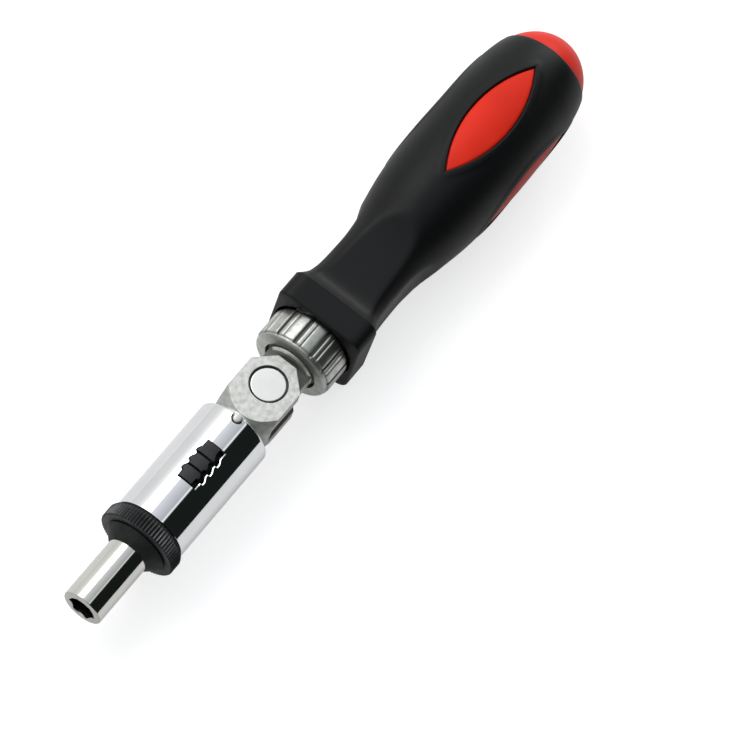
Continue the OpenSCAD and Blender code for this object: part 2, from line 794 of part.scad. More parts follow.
// One thumb flat's cutter, above the neck towards +Z
module flat_cutter() {
    rotate([90, 0, 0]) translate([0, 0, -bulge_d]) linear_extrude(2 * bulge_d)
        polygon(concat([[crease_x, bulge_d]], [for (p = flat_share)
            [crease_x + p[0] * neck_len, p[1] * neck_w / 2]], [[neck_end_x, bulge_d]]));
}

// Square with round corners, for the grip's front
module flare_outline() {
    side = flare_w / 2 - flare_round;
    square([flare_w, 2 * side], center = true);
    square([2 * side, flare_w], center = true);
    for (y = [-side, side], z = [-side, side]) translate([y, z]) circle(r = flare_round);
}

// Cuts the bevel along one side of the grip's front
module bevel_cutter() {
    top = flare_w / 2;
    rotate([90, 0, 0]) translate([0, 0, -flare_w]) linear_extrude(2 * flare_w)
        polygon([[handle_x - cut_over, top - front_bevel - cut_over],
            [handle_x + front_bevel + cut_over, top + cut_over],
            [handle_x - cut_over, top + cut_over]]);
}

module grip() {
    color(black) difference() {
        union() {
            difference() {
                along_x(handle_x, flare_len) flare_outline();
                for (i = [0:3]) rotate([i * 90, 0, 0]) bevel_cutter();
            }
            difference() {
                turn_body() revolve(concat([[crease_x - cut_over, 0], [crease_x - cut_over, neck_r],
                    [crease_x, neck_r]], grip_points, [[rim_x, 0]]));
                for (i = [0:sides - 1]) rotate([i * 360 / sides, 0, 0]) flat_cutter();
            }
        }
        core_body();
        for (i = [0:sides - 1]) rotate([i * 360 / sides, 0, 0]) window_prism();
        rod(handle_x - cut_over, recess_depth + cut_over + loose_gap, recess_r);
    }
}

bit_socket();
spin_ring();
ratchet_gear();
bit_magnet();
spindle_clip();
barrel();
front_bush();
rear_bush();
pawl_carrier();
pawl_pins();
pawl_spring_forward();
pawl_spring_reverse();
detent_ball();
detent_spring();
barrel_key();
hinge_block();
pivot_pin();
pivot_cap();
pivot_washers();
selector_button();
selector_plate();
pawl_forward();
pawl_reverse();
lock_collar();
collar_pin();
lock_bolt();
shank();
shank_clip();
collar_spring();
spring_seat();
shank_dowel();
handle_core();
grip();
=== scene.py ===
# %% [markdown]
# # Ratcheting screwdriver with a jointed head
# The engineering model is already packed: this script loads it as a fixed frame and gives it
# its looks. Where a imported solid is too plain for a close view, a finer piece stands for it.
# Everything here is worked out in millimetres, because that is how the tool was measured, and
# it is turned to metres when a piece is finished.

import json
import math

import bmesh
import bpy
from mathutils import Matrix, Vector


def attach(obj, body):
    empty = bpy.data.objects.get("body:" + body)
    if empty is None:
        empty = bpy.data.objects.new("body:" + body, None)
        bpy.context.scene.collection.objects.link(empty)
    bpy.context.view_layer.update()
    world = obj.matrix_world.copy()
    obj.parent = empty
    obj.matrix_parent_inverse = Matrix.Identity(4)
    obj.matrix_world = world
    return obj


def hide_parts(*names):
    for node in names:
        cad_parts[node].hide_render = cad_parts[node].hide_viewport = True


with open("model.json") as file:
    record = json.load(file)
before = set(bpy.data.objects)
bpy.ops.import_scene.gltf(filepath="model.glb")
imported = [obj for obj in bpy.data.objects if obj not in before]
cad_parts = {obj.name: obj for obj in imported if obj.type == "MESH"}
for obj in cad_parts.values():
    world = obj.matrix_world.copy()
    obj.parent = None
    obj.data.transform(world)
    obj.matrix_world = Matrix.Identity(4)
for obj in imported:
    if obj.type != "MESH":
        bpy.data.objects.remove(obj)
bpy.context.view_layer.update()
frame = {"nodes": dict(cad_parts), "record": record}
MM = 0.001

# %% [markdown]
# ## Sizes
# The tool lies along X, with the bit socket's mouth at the origin. These are the places along X
# and the radii that several pieces share. They repeat the engineering model's own values.

# %% Shared sizes
SOCKET_R, SPINDLE_R, SPINDLE_END = 5.2, 3.0, 54.3
BARREL_X, BARREL_END_X, BARREL_R, BORE_R = 24.95, 57.55, 9.45, 8.0
BUTTON_X, BUTTON_LEN, BUTTON_HALF, BUTTON_TURN = 42.2, 11.1, 1.8, 4.0
KEY_X, PIVOT_X = 56.75, 69.25
PIN_R, WELL_R, WELL_FLOOR = 3.0, 4.75, 5.6
COLLAR_X, COLLAR_END_X, COLLAR_R = 79.15, 88.15, 10.55
HANDLE_X, CREASE_X, RIM_X, END_X = 88.1, 95.1, 182.5, 191.6
WINDOW_X0, WINDOW_X1, WINDOW_HALF = 137.7, 174.7, 5.5
print("tool length in mm:", END_X)

# %% [markdown]
# ## Camera
# The photograph was taken with a long lens from the tip's side, a little to the right of the
# tool. The tool runs up to the right, and its far end leans about 24 degrees away. The camera
# looks straight at a point near the grip's front. A small lens shift then puts that point where
# the photograph has it.

# %% Camera
LEAN, ROLL, SLANT = math.radians(24.5), math.radians(8.0), math.radians(49.4)
DISTANCE, FOCUS_PX, FRAME_PX, SENSOR = 1050.0, 4452.0, 750.0, 36
AIM_X = 95.5
AIM_PX = (330.8, 318.0)

back = Vector((
    -math.sin(LEAN),
    -math.cos(LEAN) * math.sin(ROLL),
    math.cos(LEAN) * math.cos(ROLL),
))
tool_up = (Vector((1, 0, 0)) - back * back.x).normalized()
tool_right = tool_up.cross(back)
cam_x = tool_up * math.cos(SLANT) + tool_right * math.sin(SLANT)
cam_y = tool_up * math.sin(SLANT) - tool_right * math.cos(SLANT)
camera_data = bpy.data.cameras.new("photo_camera")
camera = bpy.data.objects.new("photo_camera", camera_data)
bpy.context.collection.objects.link(camera)
turn = Matrix((cam_x, cam_y, back)).transposed().to_4x4()
place = Vector((AIM_X, 0, 0)) + back * DISTANCE
camera.matrix_world = Matrix.Translation(place * MM) @ turn
camera_data.sensor_width = SENSOR
camera_data.lens = SENSOR * FOCUS_PX / FRAME_PX
camera_data.shift_x = (FRAME_PX / 2 - AIM_PX[0]) / FRAME_PX
camera_data.shift_y = (AIM_PX[1] - FRAME_PX / 2) / FRAME_PX
camera_data.clip_start, camera_data.clip_end = 0.01, 20
bpy.context.scene.camera = camera
print("lens in mm:", round(camera_data.lens, 1))

# %% [markdown]
# ## Node helper
# Materials and the world are made of nodes. One small function adds a node, sets its options
# and fills its sockets, either with a value or with a link from another node's output.

# %% Node helper
def add_node(tree, kind, inputs=None, **settings):
    made = tree.nodes.new(kind)
    for name, value in settings.items():
        setattr(made, name, value)
    for name, value in (inputs or {}).items():
        if isinstance(value, bpy.types.NodeSocket):
            tree.links.new(value, made.inputs[name])
        else:
            made.inputs[name].default_value = value
    return made


def linear(code):
    """Turns an sRGB hex colour into the linear values that nodes take."""
    parts = [int(code[i : i + 2], 16) / 255 for i in (1, 3, 5)]
    return tuple(
        p / 12.92 if p <= 0.04045 else ((p + 0.055) / 1.055) ** 2.4 for p in parts
    ) + (1.0,)


def fill_ramp(ramp, stops):
    """Sets a colour ramp's stops, given as (place, hex colour)."""
    while len(ramp.elements) > 1:
        ramp.elements.remove(ramp.elements[-1])
    ramp.elements[0].position = stops[0][0]
    ramp.elements[0].color = linear(stops[0][1])
    for where, code in stops[1:]:
        ramp.elements.new(where).color = linear(code)


# %% [markdown]
# ## Studio
# Polished chrome shows the room, so the room is part of the looks. The photograph was taken in
# a white tent with a dark opening on the right: each round chrome part carries one wide black
# band to the right of its middle, a thin white line beside it, and near white on the left. The
# world is coloured by the angle around the tool's axis, which gives exactly such bands. The table
# gives the colour at each angle, in degrees from the camera's side and positive to the right.

# %% World
TENT = [
    (-146, "#C9CACA"), (-138, "#C4C5C5"), (-134, "#7E8080"), (-130, "#7E8080"), (-125, "#CFD0CF"),
    (-108, "#D8D9D8"), (-74, "#E4E4E3"), (-62, "#FFFFFF"), (-45, "#FFFFFF"), (-36, "#F6F7FB"),
    (-29, "#EAEBF1"), (-20, "#DCDEE3"), (-12, "#D0D3D8"), (-4, "#C5C9CE"), (7, "#B4B9BD"),
    (10, "#B6BBBF"), (11, "#F2F3F4"), (14.5, "#F2F3F4"), (16.5, "#181D1B"), (82, "#181D1B"),
    (86, "#B4B5B4"), (92, "#BBBCBB"), (120, "#B8B9B9"), (180, "#BDBEBE"),
]
world = bpy.data.worlds.new("light_tent")
bpy.context.scene.world = world
world.use_nodes = True
tree = world.node_tree
tree.nodes.clear()
ray = add_node(tree, "ShaderNodeTexCoord").outputs["Generated"]
parts = add_node(tree, "ShaderNodeSeparateXYZ", {0: ray})
flip = add_node(tree, "ShaderNodeMath", {0: parts.outputs["Y"], 1: -1.0}, operation="MULTIPLY")
angle = add_node(tree, "ShaderNodeMath", {0: flip.outputs[0], 1: parts.outputs["Z"]},
                 operation="ARCTAN2")
around = add_node(tree, "ShaderNodeMapRange", {
    "Value": angle.outputs[0], "From Min": -math.pi, "From Max": math.pi})
bands = add_node(tree, "ShaderNodeValToRGB", {"Fac": around.outputs["Result"]})
roll_degrees = math.degrees(ROLL)
stops = sorted((((a + roll_degrees + 180) / 360) % 1.0, code) for a, code in TENT)
fill_ramp(bands.color_ramp, stops)
tent = add_node(tree, "ShaderNodeBackground", {"Color": bands.outputs["Color"], "Strength": 1.0})
white = add_node(tree, "ShaderNodeBackground", {"Color": (1, 1, 1, 1), "Strength": 1.0})
path = add_node(tree, "ShaderNodeLightPath")
pick = add_node(tree, "ShaderNodeMixShader", {
    0: path.outputs["Is Camera Ray"], 1: tent.outputs[0], 2: white.outputs[0]})
add_node(tree, "ShaderNodeOutputWorld", {"Surface": pick.outputs[0]})
print("world bands:", len(stops))

# %% [markdown]
# ## Floor
# The tool lies on a plain pale floor, which touches the grip's fullest part. The floor keeps the
# tool's soft shadow. For rays from the camera, and for reflections, a little glow lifts it to
# the white of the photograph's background, without more light on the tool. Reflections take a
# weaker glow, so that the tool's own shadow still greys the outer edges of the chrome.

# %% Floor
FLOOR_Z, FLOOR_HALF = -15.1, 3000
SEEN_GLOW, MIRRORED_GLOW = 0.7, 0.28
floor_mesh = bpy.data.meshes.new("floor")
bm = bmesh.new()
bmesh.ops.create_grid(bm, x_segments=1, y_segments=1, size=FLOOR_HALF * MM)
bmesh.ops.translate(bm, verts=bm.verts, vec=(AIM_X * MM, 0, FLOOR_Z * MM))
bm.to_mesh(floor_mesh)
bm.free()
floor = bpy.data.objects.new("floor", floor_mesh)
bpy.context.collection.objects.link(floor)

paper = bpy.data.materials.new("white_paper_sweep")
paper.use_nodes = True
tree = paper.node_tree
tree.nodes.clear()
plain = add_node(tree, "ShaderNodeBsdfDiffuse", {"Color": linear("#CACACA")})
path = add_node(tree, "ShaderNodeLightPath")
mirrored = add_node(tree, "ShaderNodeMath", {
    0: path.outputs["Is Glossy Ray"], 1: path.outputs["Is Transmission Ray"]},
    operation="MAXIMUM")
weaker = add_node(tree, "ShaderNodeMath", {
    0: mirrored.outputs[0], 1: MIRRORED_GLOW}, operation="MULTIPLY")
strength = add_node(tree, "ShaderNodeMath", {
    0: path.outputs["Is Camera Ray"], 1: SEEN_GLOW, 2: weaker.outputs[0]},
    operation="MULTIPLY_ADD")
glow = add_node(tree, "ShaderNodeEmission", {
    "Color": (1, 1, 1, 1), "Strength": strength.outputs[0]})
lifted = add_node(tree, "ShaderNodeAddShader", {0: plain.outputs[0], 1: glow.outputs[0]})
add_node(tree, "ShaderNodeOutputMaterial", {"Surface": lifted.outputs[0]})
floor_mesh.materials.append(paper)
print("floor at z in mm:", FLOOR_Z)

# %% [markdown]
# ## Lamps
# One broad soft lamp, high on the left, models the grip's facets: the near side is a little
# lighter than the right side. A smaller one beyond the far end lights the dome and draws a
# highlight on the grip's shoulder. Their places and sizes are in metres.

# %% Lamps
def soft_box(name, where, width, height, watts, target):
    """A rectangular lamp that faces its target, with its place and size in metres."""
    data = bpy.data.lights.new(name, "AREA")
    data.shape, data.size, data.size_y, data.energy = "RECTANGLE", width, height, watts
    lamp = bpy.data.objects.new(name, data)
    bpy.context.collection.objects.link(lamp)
    lamp.location = where
    lamp.rotation_euler = (Vector(where) - Vector(target)).to_track_quat("Z", "Y").to_euler()
    print(name, watts, "W")


soft_box("left_soft_box", where=(0.16, 0.55, 0.75), width=0.7, height=0.5, watts=2.4,
         target=(0.1, 0, 0))
soft_box("far_soft_box", where=(0.9, 0.1, 0.36), width=0.4, height=0.3, watts=1.7,
         target=(0.18, 0, 0))
bpy.context.scene.view_settings.view_transform = "Standard"

# %% [markdown]
# ## Finishes
# Every finish starts from what the real material is. The function below makes the part that all
# share: a Principled shader whose colour and roughness are broken up a little by noise, and a
# bump for the surface's grain. Sizes of patterns are given in millimetres; noise of scale s on
# Object coordinates, which are in metres, repeats about every 1/s metres. Some pieces carry a
# mark from 0 to 1 for painted shade, in wells, grooves, walls and recesses, and on the knurled
# ring also for wear. Where it is high the finish takes its darker third tone and is rougher.

# %% Shared finish
TONE_STOPS = (0.35, 0.65)
SMOOTHEST, ROUGHEST, ROUGHER_WHERE_MARKED = 0.88, 1.14, 0.25


def finish(name, tones, metallic, roughness, mottle_mm, grain_mm, depth_mm, strength,
           **constants):
    """A finish that wanders between two tones, takes the third as painted shade, and has a bump.
    """
    made = bpy.data.materials.new(name)
    made.use_nodes = True
    tree = made.node_tree
    tree.nodes.clear()
    spot = add_node(tree, "ShaderNodeTexCoord").outputs["Object"]
    mottle = add_node(tree, "ShaderNodeTexNoise", {
        "Vector": spot, "Scale": 1 / (mottle_mm * MM), "Detail": 3.0})
    tone = add_node(tree, "ShaderNodeValToRGB", {"Fac": mottle.outputs["Fac"]})
    fill_ramp(tone.color_ramp, list(zip(TONE_STOPS, tones)))
    # The painted shade mark, with wear on the knurled ring, mixes in the third tone.
    mark = add_node(tree, "ShaderNodeAttribute", attribute_name="painted_shade_and_wear")
    colour = add_node(tree, "ShaderNodeMixRGB", {
        "Fac": mark.outputs["Fac"], "Color1": tone.outputs["Color"], "Color2": linear(tones[2])})
    worn = add_node(tree, "ShaderNodeMapRange", {
        "Value": mottle.outputs["Fac"], "From Min": 0.3, "From Max": 0.7,
        "To Min": roughness * SMOOTHEST, "To Max": roughness * ROUGHEST})
    rough = add_node(tree, "ShaderNodeMath", {
        0: mark.outputs["Fac"], 1: ROUGHER_WHERE_MARKED, 2: worn.outputs["Result"]},
        operation="MULTIPLY_ADD")
    grain = add_node(tree, "ShaderNodeTexNoise", {
        "Vector": spot, "Scale": 1 / (grain_mm * MM), "Detail": 2.0})
    bump = add_node(tree, "ShaderNodeBump", {
        "Height": grain.outputs["Fac"], "Distance": depth_mm * MM, "Strength": strength})
    shader = add_node(tree, "ShaderNodeBsdfPrincipled", {
        "Base Color": colour.outputs["Color"], "Metallic": metallic,
        "Roughness": rough.outputs[0], "Normal": bump.outputs["Normal"]})
    for socket, value in constants.items():
        shader.inputs[socket.replace("_", " ")].default_value = value
    add_node(tree, "ShaderNodeOutputMaterial", {"Surface": shader.outputs[0]})
    return made


# %% [markdown]
# The metals. Chrome plate is a hard mirror with a faint cool tint, and only the faintest
# waviness. The spindle with its bit socket is nickel plated, which is a little warmer and
# duller. The die-cast zinc of the joint is tumbled: pale, satin, with a fine grain. The collar
# is a less rough copy of that zinc, greyer as painted shade. The cross pin is ground bright.
# Sintered bronze is warm and a little rough. What shows through the window is steel painted
# nearly black as shade.

# %% Metals
nickel = finish("bright_nickel_plate", ("#E4E3DD", "#DEDDD7", "#232422"),
                metallic=1.0, roughness=0.08, mottle_mm=9, grain_mm=0.5, depth_mm=0.001,
                strength=0.15)
chrome = finish("polished_chrome_plate", ("#F3F4F5", "#EEEFF1", "#232422"),
                metallic=1.0, roughness=0.05, mottle_mm=9, grain_mm=0.5, depth_mm=0.001,
                strength=0.15)
zinc = finish("tumbled_diecast_zinc", ("#E2E3DE", "#C6C7C2", "#93958E"),
              metallic=1.0, roughness=0.48, mottle_mm=1.4, grain_mm=0.22, depth_mm=0.035,
              strength=0.6)
# A greyer copy of the zinc: its darker colour is painted shade.
cast = finish("greyer_zinc_painted_shade", ("#D0D2CD", "#BBBDB7", "#7C7F77"),
              metallic=1.0, roughness=0.34, mottle_mm=1.4, grain_mm=0.25, depth_mm=0.04,
              strength=0.6)
bright = finish("ground_bright_steel", ("#FFFEFA", "#FAF9F5", "#8A8B88"),
                metallic=1.0, roughness=0.30, mottle_mm=4, grain_mm=0.2, depth_mm=0.01,
                strength=0.3)
steel = finish("turned_steel", ("#B4B6B8", "#A2A4A6", "#5A5B5A"),
               metallic=1.0, roughness=0.28, mottle_mm=3, grain_mm=0.3, depth_mm=0.01,
               strength=0.3)
bronze = finish("sintered_bronze", ("#B28A55", "#9C774A", "#6A4F30"),
                metallic=1.0, roughness=0.45, mottle_mm=2, grain_mm=0.2, depth_mm=0.02,
                strength=0.5)
oxide = finish("black_oxide_steel", ("#626465", "#4B4C4D", "#121312"),
               metallic=0.6, roughness=0.36, mottle_mm=2, grain_mm=0.18, depth_mm=0.02,
               strength=0.5)
# Steel painted nearly black, as the shade inside the barrel.
shaded = finish("steel_painted_shade", ("#2A2A29", "#1F1F1E", "#121211"),
                metallic=1.0, roughness=0.4, mottle_mm=3, grain_mm=0.3, depth_mm=0.01,
                strength=0.3)

# %% [markdown]
# The plastics. The grip is soft thermoplastic rubber, moulded over the core: nearly black, with
# a broad dull sheen. The core is hard red polypropylene with a satin gloss. The thumb button is
# matt black moulded nylon.

# %% Plastics
rubber = finish("soft_black_overmould", ("#0F1011", "#0C0D0E", "#080908"),
                metallic=0.0, roughness=0.44, mottle_mm=14, grain_mm=0.25, depth_mm=0.03,
                strength=0.5, Specular_IOR_Level=0.21)
red = finish("red_moulded_core", ("#EC301B", "#E32B17", "#B01E12"),
             metallic=0.0, roughness=0.40, mottle_mm=12, grain_mm=0.5, depth_mm=0.006,
             strength=0.25, Specular_IOR_Level=0.15)
nylon = finish("black_moulded_nylon", ("#343537", "#2C2D2F", "#101110"),
               metallic=0.0, roughness=0.5, mottle_mm=3, grain_mm=0.2, depth_mm=0.015,
               strength=0.4, Specular_IOR_Level=0.35)

SLOT_FINISH = {
    "chrome": chrome, "zinc": zinc, "steel": steel, "bronze": bronze,
    "black_metal": oxide, "black_plastic": nylon, "red_plastic": red, "black_rubber": rubber,
}
slot_of = {s["node"]: s["material_slot"] for s in frame["record"]["subparts"]}
for name, node in frame["nodes"].items():
    node.data.materials.clear()
    # Parts inside the barrel take the nearly black steel, as painted shade.
    inside = name in ("selector_plate", "pawl_carrier")
    node.data.materials.append(shaded if inside else SLOT_FINISH[slot_of[name]])
print("CAD nodes with a finish:", len(slot_of))

# %% [markdown]
# ## Mesh helpers
# Round parts are turned as on a lathe: a profile of (x, radius) points is spun about the axis.
# A third number rounds that corner of the profile, as a deburred edge is, but never over more
# than 0.45 of the lines beside it.

# %% Turning
LONGEST_SHARE = 0.45


def softened(profile, segments=4):
    """Rounds the corners of an open profile of (x, r) or (x, r, corner radius) points."""
    points = [Vector(p[:2]) for p in profile]
    out = []
    for i, p in enumerate(profile):
        here = points[i]
        if len(p) < 3 or i in (0, len(profile) - 1):
            out.append(here)
            continue
        a, b = (points[i - 1] - here), (points[i + 1] - here)
        reach = min(p[2], a.length * LONGEST_SHARE, b.length * LONGEST_SHARE)
        start, end = here + a.normalized() * reach, here + b.normalized() * reach
        for k in range(segments + 1):
            t = k / segments
            out.append(start * (1 - t) ** 2 + here * (2 * t * (1 - t)) + end * t ** 2)
    return out


def turned(profile, steps=96):
    """A bmesh spun from a profile whose first and last points meet or lie on the axis."""
    bm = bmesh.new()
    ring = [bm.verts.new((p[0], 0, p[1])) for p in softened(profile)]
    edges = [bm.edges.new(pair) for pair in zip(ring, ring[1:])]
    bmesh.ops.spin(bm, geom=ring + edges, cent=(0, 0, 0), axis=(1, 0, 0), angle=2 * math.pi,
                   steps=steps, use_merge=True)
    bmesh.ops.remove_doubles(bm, verts=bm.verts, dist=1e-4)
    bmesh.ops.recalc_face_normals(bm, faces=bm.faces)
    return bm


# %% [markdown]
# Flat parts and cutters start as an outline of (x, y) points, which is raised along Z. A cutter
# that comes from above starts inside the tool and ends well clear of it. The last two helpers
# save words: one names all of a bmesh, the other keeps a value between 0 and 1.

# %% Outlines and prisms
CUT_FLOOR, CUT_TOP = 2, 12


def disc_outline(x, radius, count=72):
    """A circle of points about a place on the tool's axis."""
    turns = [2 * math.pi * i / count for i in range(count)]
    return [(x + radius * math.cos(a), radius * math.sin(a)) for a in turns]


def box_outline(x0, x1, half):
    """A rectangle between two places on the tool's axis."""
    return [(x0, -half), (x1, -half), (x1, half), (x0, half)]


def prism(outline, low, high, ease=0.0):
    """A flat outline of (x, y) points raised from low to high along Z."""
    bm = bmesh.new()
    face = bm.faces.new([bm.verts.new((x, y, low)) for x, y in outline])
    raised = bmesh.ops.extrude_face_region(bm, geom=[face])["geom"]
    bmesh.ops.translate(bm, verts=[v for v in raised if isinstance(v, bmesh.types.BMVert)],
                        vec=(0, 0, high - low))
    bmesh.ops.recalc_face_normals(bm, faces=bm.faces)
    if ease:
        standing = [e for e in bm.edges
                    if abs(e.verts[0].co.z - e.verts[1].co.z) > (high - low) / 2]
        bmesh.ops.bevel(bm, geom=standing, offset=ease, segments=3, profile=0.5,
                        affect="EDGES", material=-1)
    return bm


def upright(bm, x):
    """Stands a part that was turned along X on the tool's axis, pointing up."""
    bmesh.ops.rotate(bm, verts=bm.verts, matrix=Matrix.Rotation(math.radians(-90), 3, "Y"))
    bmesh.ops.translate(bm, verts=bm.verts, vec=(x, 0, 0))
    return bm


def whole(bm):
    """All of a bmesh, as its operators take it."""
    return bm.verts[:] + bm.edges[:] + bm.faces[:]


def clamped(value):
    """The value kept between 0 and 1."""
    return min(1.0, max(0.0, value))


# %% [markdown]
# Cuts are made with Blender's exact boolean, and its result is applied at once. Sharp edges are
# then broken with a narrow bevel, because real edges always catch a thin line of light.

# %% Cutting and easing edges
def to_object(bm, name):
    """Gives a bmesh an object of its own, at the origin, and frees the bmesh."""
    mesh = bpy.data.meshes.new(name)
    bm.to_mesh(mesh)
    bm.free()
    made = bpy.data.objects.new(name, mesh)
    bpy.context.collection.objects.link(made)
    return made


def carve(bm, cutter, operation="DIFFERENCE"):
    """Cuts one bmesh with another and returns the result as a new bmesh."""
    block, tool = to_object(bm, "block"), to_object(cutter, "tool")
    cut = block.modifiers.new("cut", "BOOLEAN")
    cut.operation, cut.solver, cut.object = operation, "EXACT", tool
    graph = bpy.context.evaluated_depsgraph_get()
    mesh = bpy.data.meshes.new_from_object(block.evaluated_get(graph))
    out = bmesh.new()
    out.from_mesh(mesh)
    for used in (block, tool):
        bpy.data.objects.remove(used)
    bpy.data.meshes.remove(mesh)
    bmesh.ops.remove_doubles(out, verts=out.verts, dist=1e-4)
    return out


def ease_edges(bm, width, degrees=28, segments=2, keep=None):
    """Bevels each edge that is sharper than the angle and that keep() accepts."""
    sharp = [e for e in bm.edges if len(e.link_faces) == 2
             and e.calc_face_angle(0) > math.radians(degrees) and (keep is None or keep(e))]
    bmesh.ops.bevel(bm, geom=sharp, offset=width, segments=segments, profile=0.5,
                    affect="EDGES", material=-1, clamp_overlap=True)


def join(*parts):
    """Puts several closed shells into one bmesh."""
    together = bmesh.new()
    for part in parts:
        mesh = bpy.data.meshes.new("part")
        part.to_mesh(mesh)
        part.free()
        together.from_mesh(mesh)
        bpy.data.meshes.remove(mesh)
    return together


def done(bm, name, look, body, slot, *nodes, sharp=32, spin_r=None, painted_shade_and_wear=None, weigh=True):
    """Turns a bmesh in millimetres into a finished piece that stands for CAD nodes."""
    bmesh.ops.recalc_face_normals(bm, faces=bm.faces)
    made = to_object(bm, name)
    mesh = made.data
    # Corner values of painted shade, and on the knurled ring wear too, for the finish's third
    # tone.
    if painted_shade_and_wear:
        mark = mesh.attributes.new("painted_shade_and_wear", "FLOAT", "CORNER")
        for face in mesh.polygons:
            for loop in face.loop_indices:
                place = mesh.vertices[mesh.loops[loop].vertex_index].co
                mark.data[loop].value = painted_shade_and_wear(place, face.center, face.normal)
    mesh.transform(Matrix.Scale(MM, 4))
    mesh.polygons.foreach_set("use_smooth", [True] * len(mesh.polygons))
    mesh.set_sharp_from_angle(angle=math.radians(sharp))
    if spin_r:
        round_normals(mesh, spin_r * MM)
    elif weigh:
        flatter = made.modifiers.new("weigh_normals", "WEIGHTED_NORMAL")
        flatter.keep_sharp = True
    mesh.materials.append(look)
    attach(made, body)
    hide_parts(*nodes)
    print(name, len(mesh.polygons), "faces")


def round_normals(mesh, radius):
    """Points the normals of a turned wall straight out, so that cut faces still reflect truly."""
    normals = [Vector(n.vector) for n in mesh.corner_normals]
    for face in mesh.polygons:
        out = [Vector((0, mesh.vertices[v].co.y, mesh.vertices[v].co.z)) for v in face.vertices]
        if all(abs(o.length - radius) < 2e-5 for o in out) and abs(face.normal.x) < 0.02:
            for loop, o in zip(face.loop_indices, out):
                normals[loop] = o.normalized()
    mesh.normals_split_custom_set(normals)


# %% [markdown]
# ## Bit socket
# The socket is a plated steel tube. Its lip is rounded, a cone leads the bit in, and the
# hexagon has corners to the left and right. The hexagon is darkened with painted shade, more so
# deeper in. Behind the spin ring are a groove for a clip and the thinner spindle. Two plane cuts
# give the hexagon's walls rows of points near the mouth, which the painted shade follows.

# %% Bit socket
CLIP_X0, CLIP_X1, CLIP_R, SOCKET_END = 28.45, 29.25, 4.7, 30.15
HEX_HALF, HEX_END, HEX_START = 3.2, 18.0, -1.0
CONE_R, CONE_START, CONE_END = 3.45, -0.5, 0.35
body = turned([
    (0.0, 0.0), (0.0, 4.1, 0.2), (0.0, SOCKET_R, 0.7), (CLIP_X0, SOCKET_R, 0.1),
    (CLIP_X0, CLIP_R), (CLIP_X1, CLIP_R), (CLIP_X1, SOCKET_R, 0.1), (SOCKET_END, SOCKET_R, 0.2),
    (SOCKET_END, SPINDLE_R), (SPINDLE_END, SPINDLE_R, 0.3), (SPINDLE_END, 0)], steps=128)
hexagon = prism(disc_outline(0, HEX_HALF / math.cos(math.pi / 6), 6), HEX_START, HEX_END)
bmesh.ops.rotate(hexagon, verts=hexagon.verts, matrix=Matrix((
    (0, 0, 1), (1, 0, 0), (0, 1, 0))))
body = carve(body, hexagon)
lead_in = turned([(CONE_START, 0), (CONE_START, CONE_R - CONE_START),
                  (CONE_END, CONE_R - CONE_END), (CONE_END, 0)], steps=128)
body = carve(body, lead_in)
for depth in (1.0, 2.4):
    bmesh.ops.bisect_plane(body, geom=whole(body), plane_co=(depth, 0, 0), plane_no=(1, 0, 0))


def socket_painted_shade(place, centre, normal):
    """Painted shade: the hexagon darkens fast with depth. The lip's front face is a dull grey."""
    if math.hypot(centre.y, centre.z) < 3.8 and centre.x < 19 and normal.x > -0.3:
        return min(1.0, 0.35 + 0.45 * place.x)
    return 0.3 if normal.x < -0.5 and centre.x < 1 else 0.0


done(body, "socket_tube", nickel, "spindle", "chrome", "bit_socket", spin_r=SOCKET_R,
     painted_shade_and_wear=socket_painted_shade)

# %% [markdown]
# ## Spin ring
# The ring is blackened steel: a cone in front, a narrow groove, then a band with a fine straight
# knurl for the fingers. The knurl is 72 ridges, and one vertex in four makes a ridge's top. The
# ridge tops are lighter than the valleys, as wear and painted shade; the cone and groove have
# painted shade.

# %% Spin ring
RIDGES, RIDGE_HEIGHT, RIDGE_FOOT, RIDGE_RISE = 72, 0.4, 9.4, 0.6
RING_X, RING_END_X, RING_R, RING_BORE = 17.1, 24.7, 10.3, SOCKET_R + 0.01
CONE_X, BAND_X, NECK_R = 20.0, 20.3, 7.6
ring = turned([
    (RING_END_X, RING_BORE), (RING_X, RING_BORE), (RING_X, 5.5, 0.1),
    (CONE_X - 0.1, 8.15, 0.15), (CONE_X, 8.0, 0.05), (CONE_X, NECK_R), (BAND_X, NECK_R),
    (BAND_X, RING_R - 0.4), (BAND_X + 0.06, RING_R - 0.18), (BAND_X + 0.3, RING_R),
    (RING_END_X - 1.2, RING_R), (RING_END_X - 0.6, RING_R - 0.3),
    (RING_END_X, RING_R - 0.8, 0.1), (RING_END_X, RING_BORE)], steps=RIDGES * 4)
for v in ring.verts:
    r = math.hypot(v.co.y, v.co.z)
    if r > RIDGE_FOOT:
        turn_share = math.atan2(v.co.y, v.co.z) / (2 * math.pi) * RIDGES
        groove = 0.5 - 0.5 * math.cos(2 * math.pi * turn_share)
        scale = (r - RIDGE_HEIGHT * groove * min(1, (r - RIDGE_FOOT) / RIDGE_RISE)) / r
        v.co.y *= scale
        v.co.z *= scale


def ring_wear_and_painted_shade(place, centre, normal):
    """Ridge tops are lighter, as wear and painted shade; the groove and the cone take painted
    shade.
    """
    r = math.hypot(place.y, place.z)
    if centre.x < BAND_X + 0.03 and r > 8.3:
        return 0.5
    return 0.88 if r < 9.0 else clamped((10.24 - r) / 0.3)


done(ring, "knurled_ring", oxide, "spindle", "black_metal", "spin_ring", sharp=60,
     painted_shade_and_wear=ring_wear_and_painted_shade, weigh=False)

# %% [markdown]
# ## Barrel
# The barrel is a chromed tube with a toothed window for the thumb button and a half-round notch
# in its rear rim. The button rests at one end of its travel, so the window is turned a few
# degrees against it. The window's edge is broken all round, and on the right it crosses the black
# reflection as a bright line. A bevel can't run round an edge that crosses so many facets, so the
# cutter itself opens out at the top. Button and window share one toothed outline.

# %% Toothed outline and its cutter
TOOTH_PITCH = 2.8
TOOTH_CORNERS = ((-0.34, 0, -1), (-0.24, 1, -1), (-0.06, 1, 1), (0.34, 0, 1))


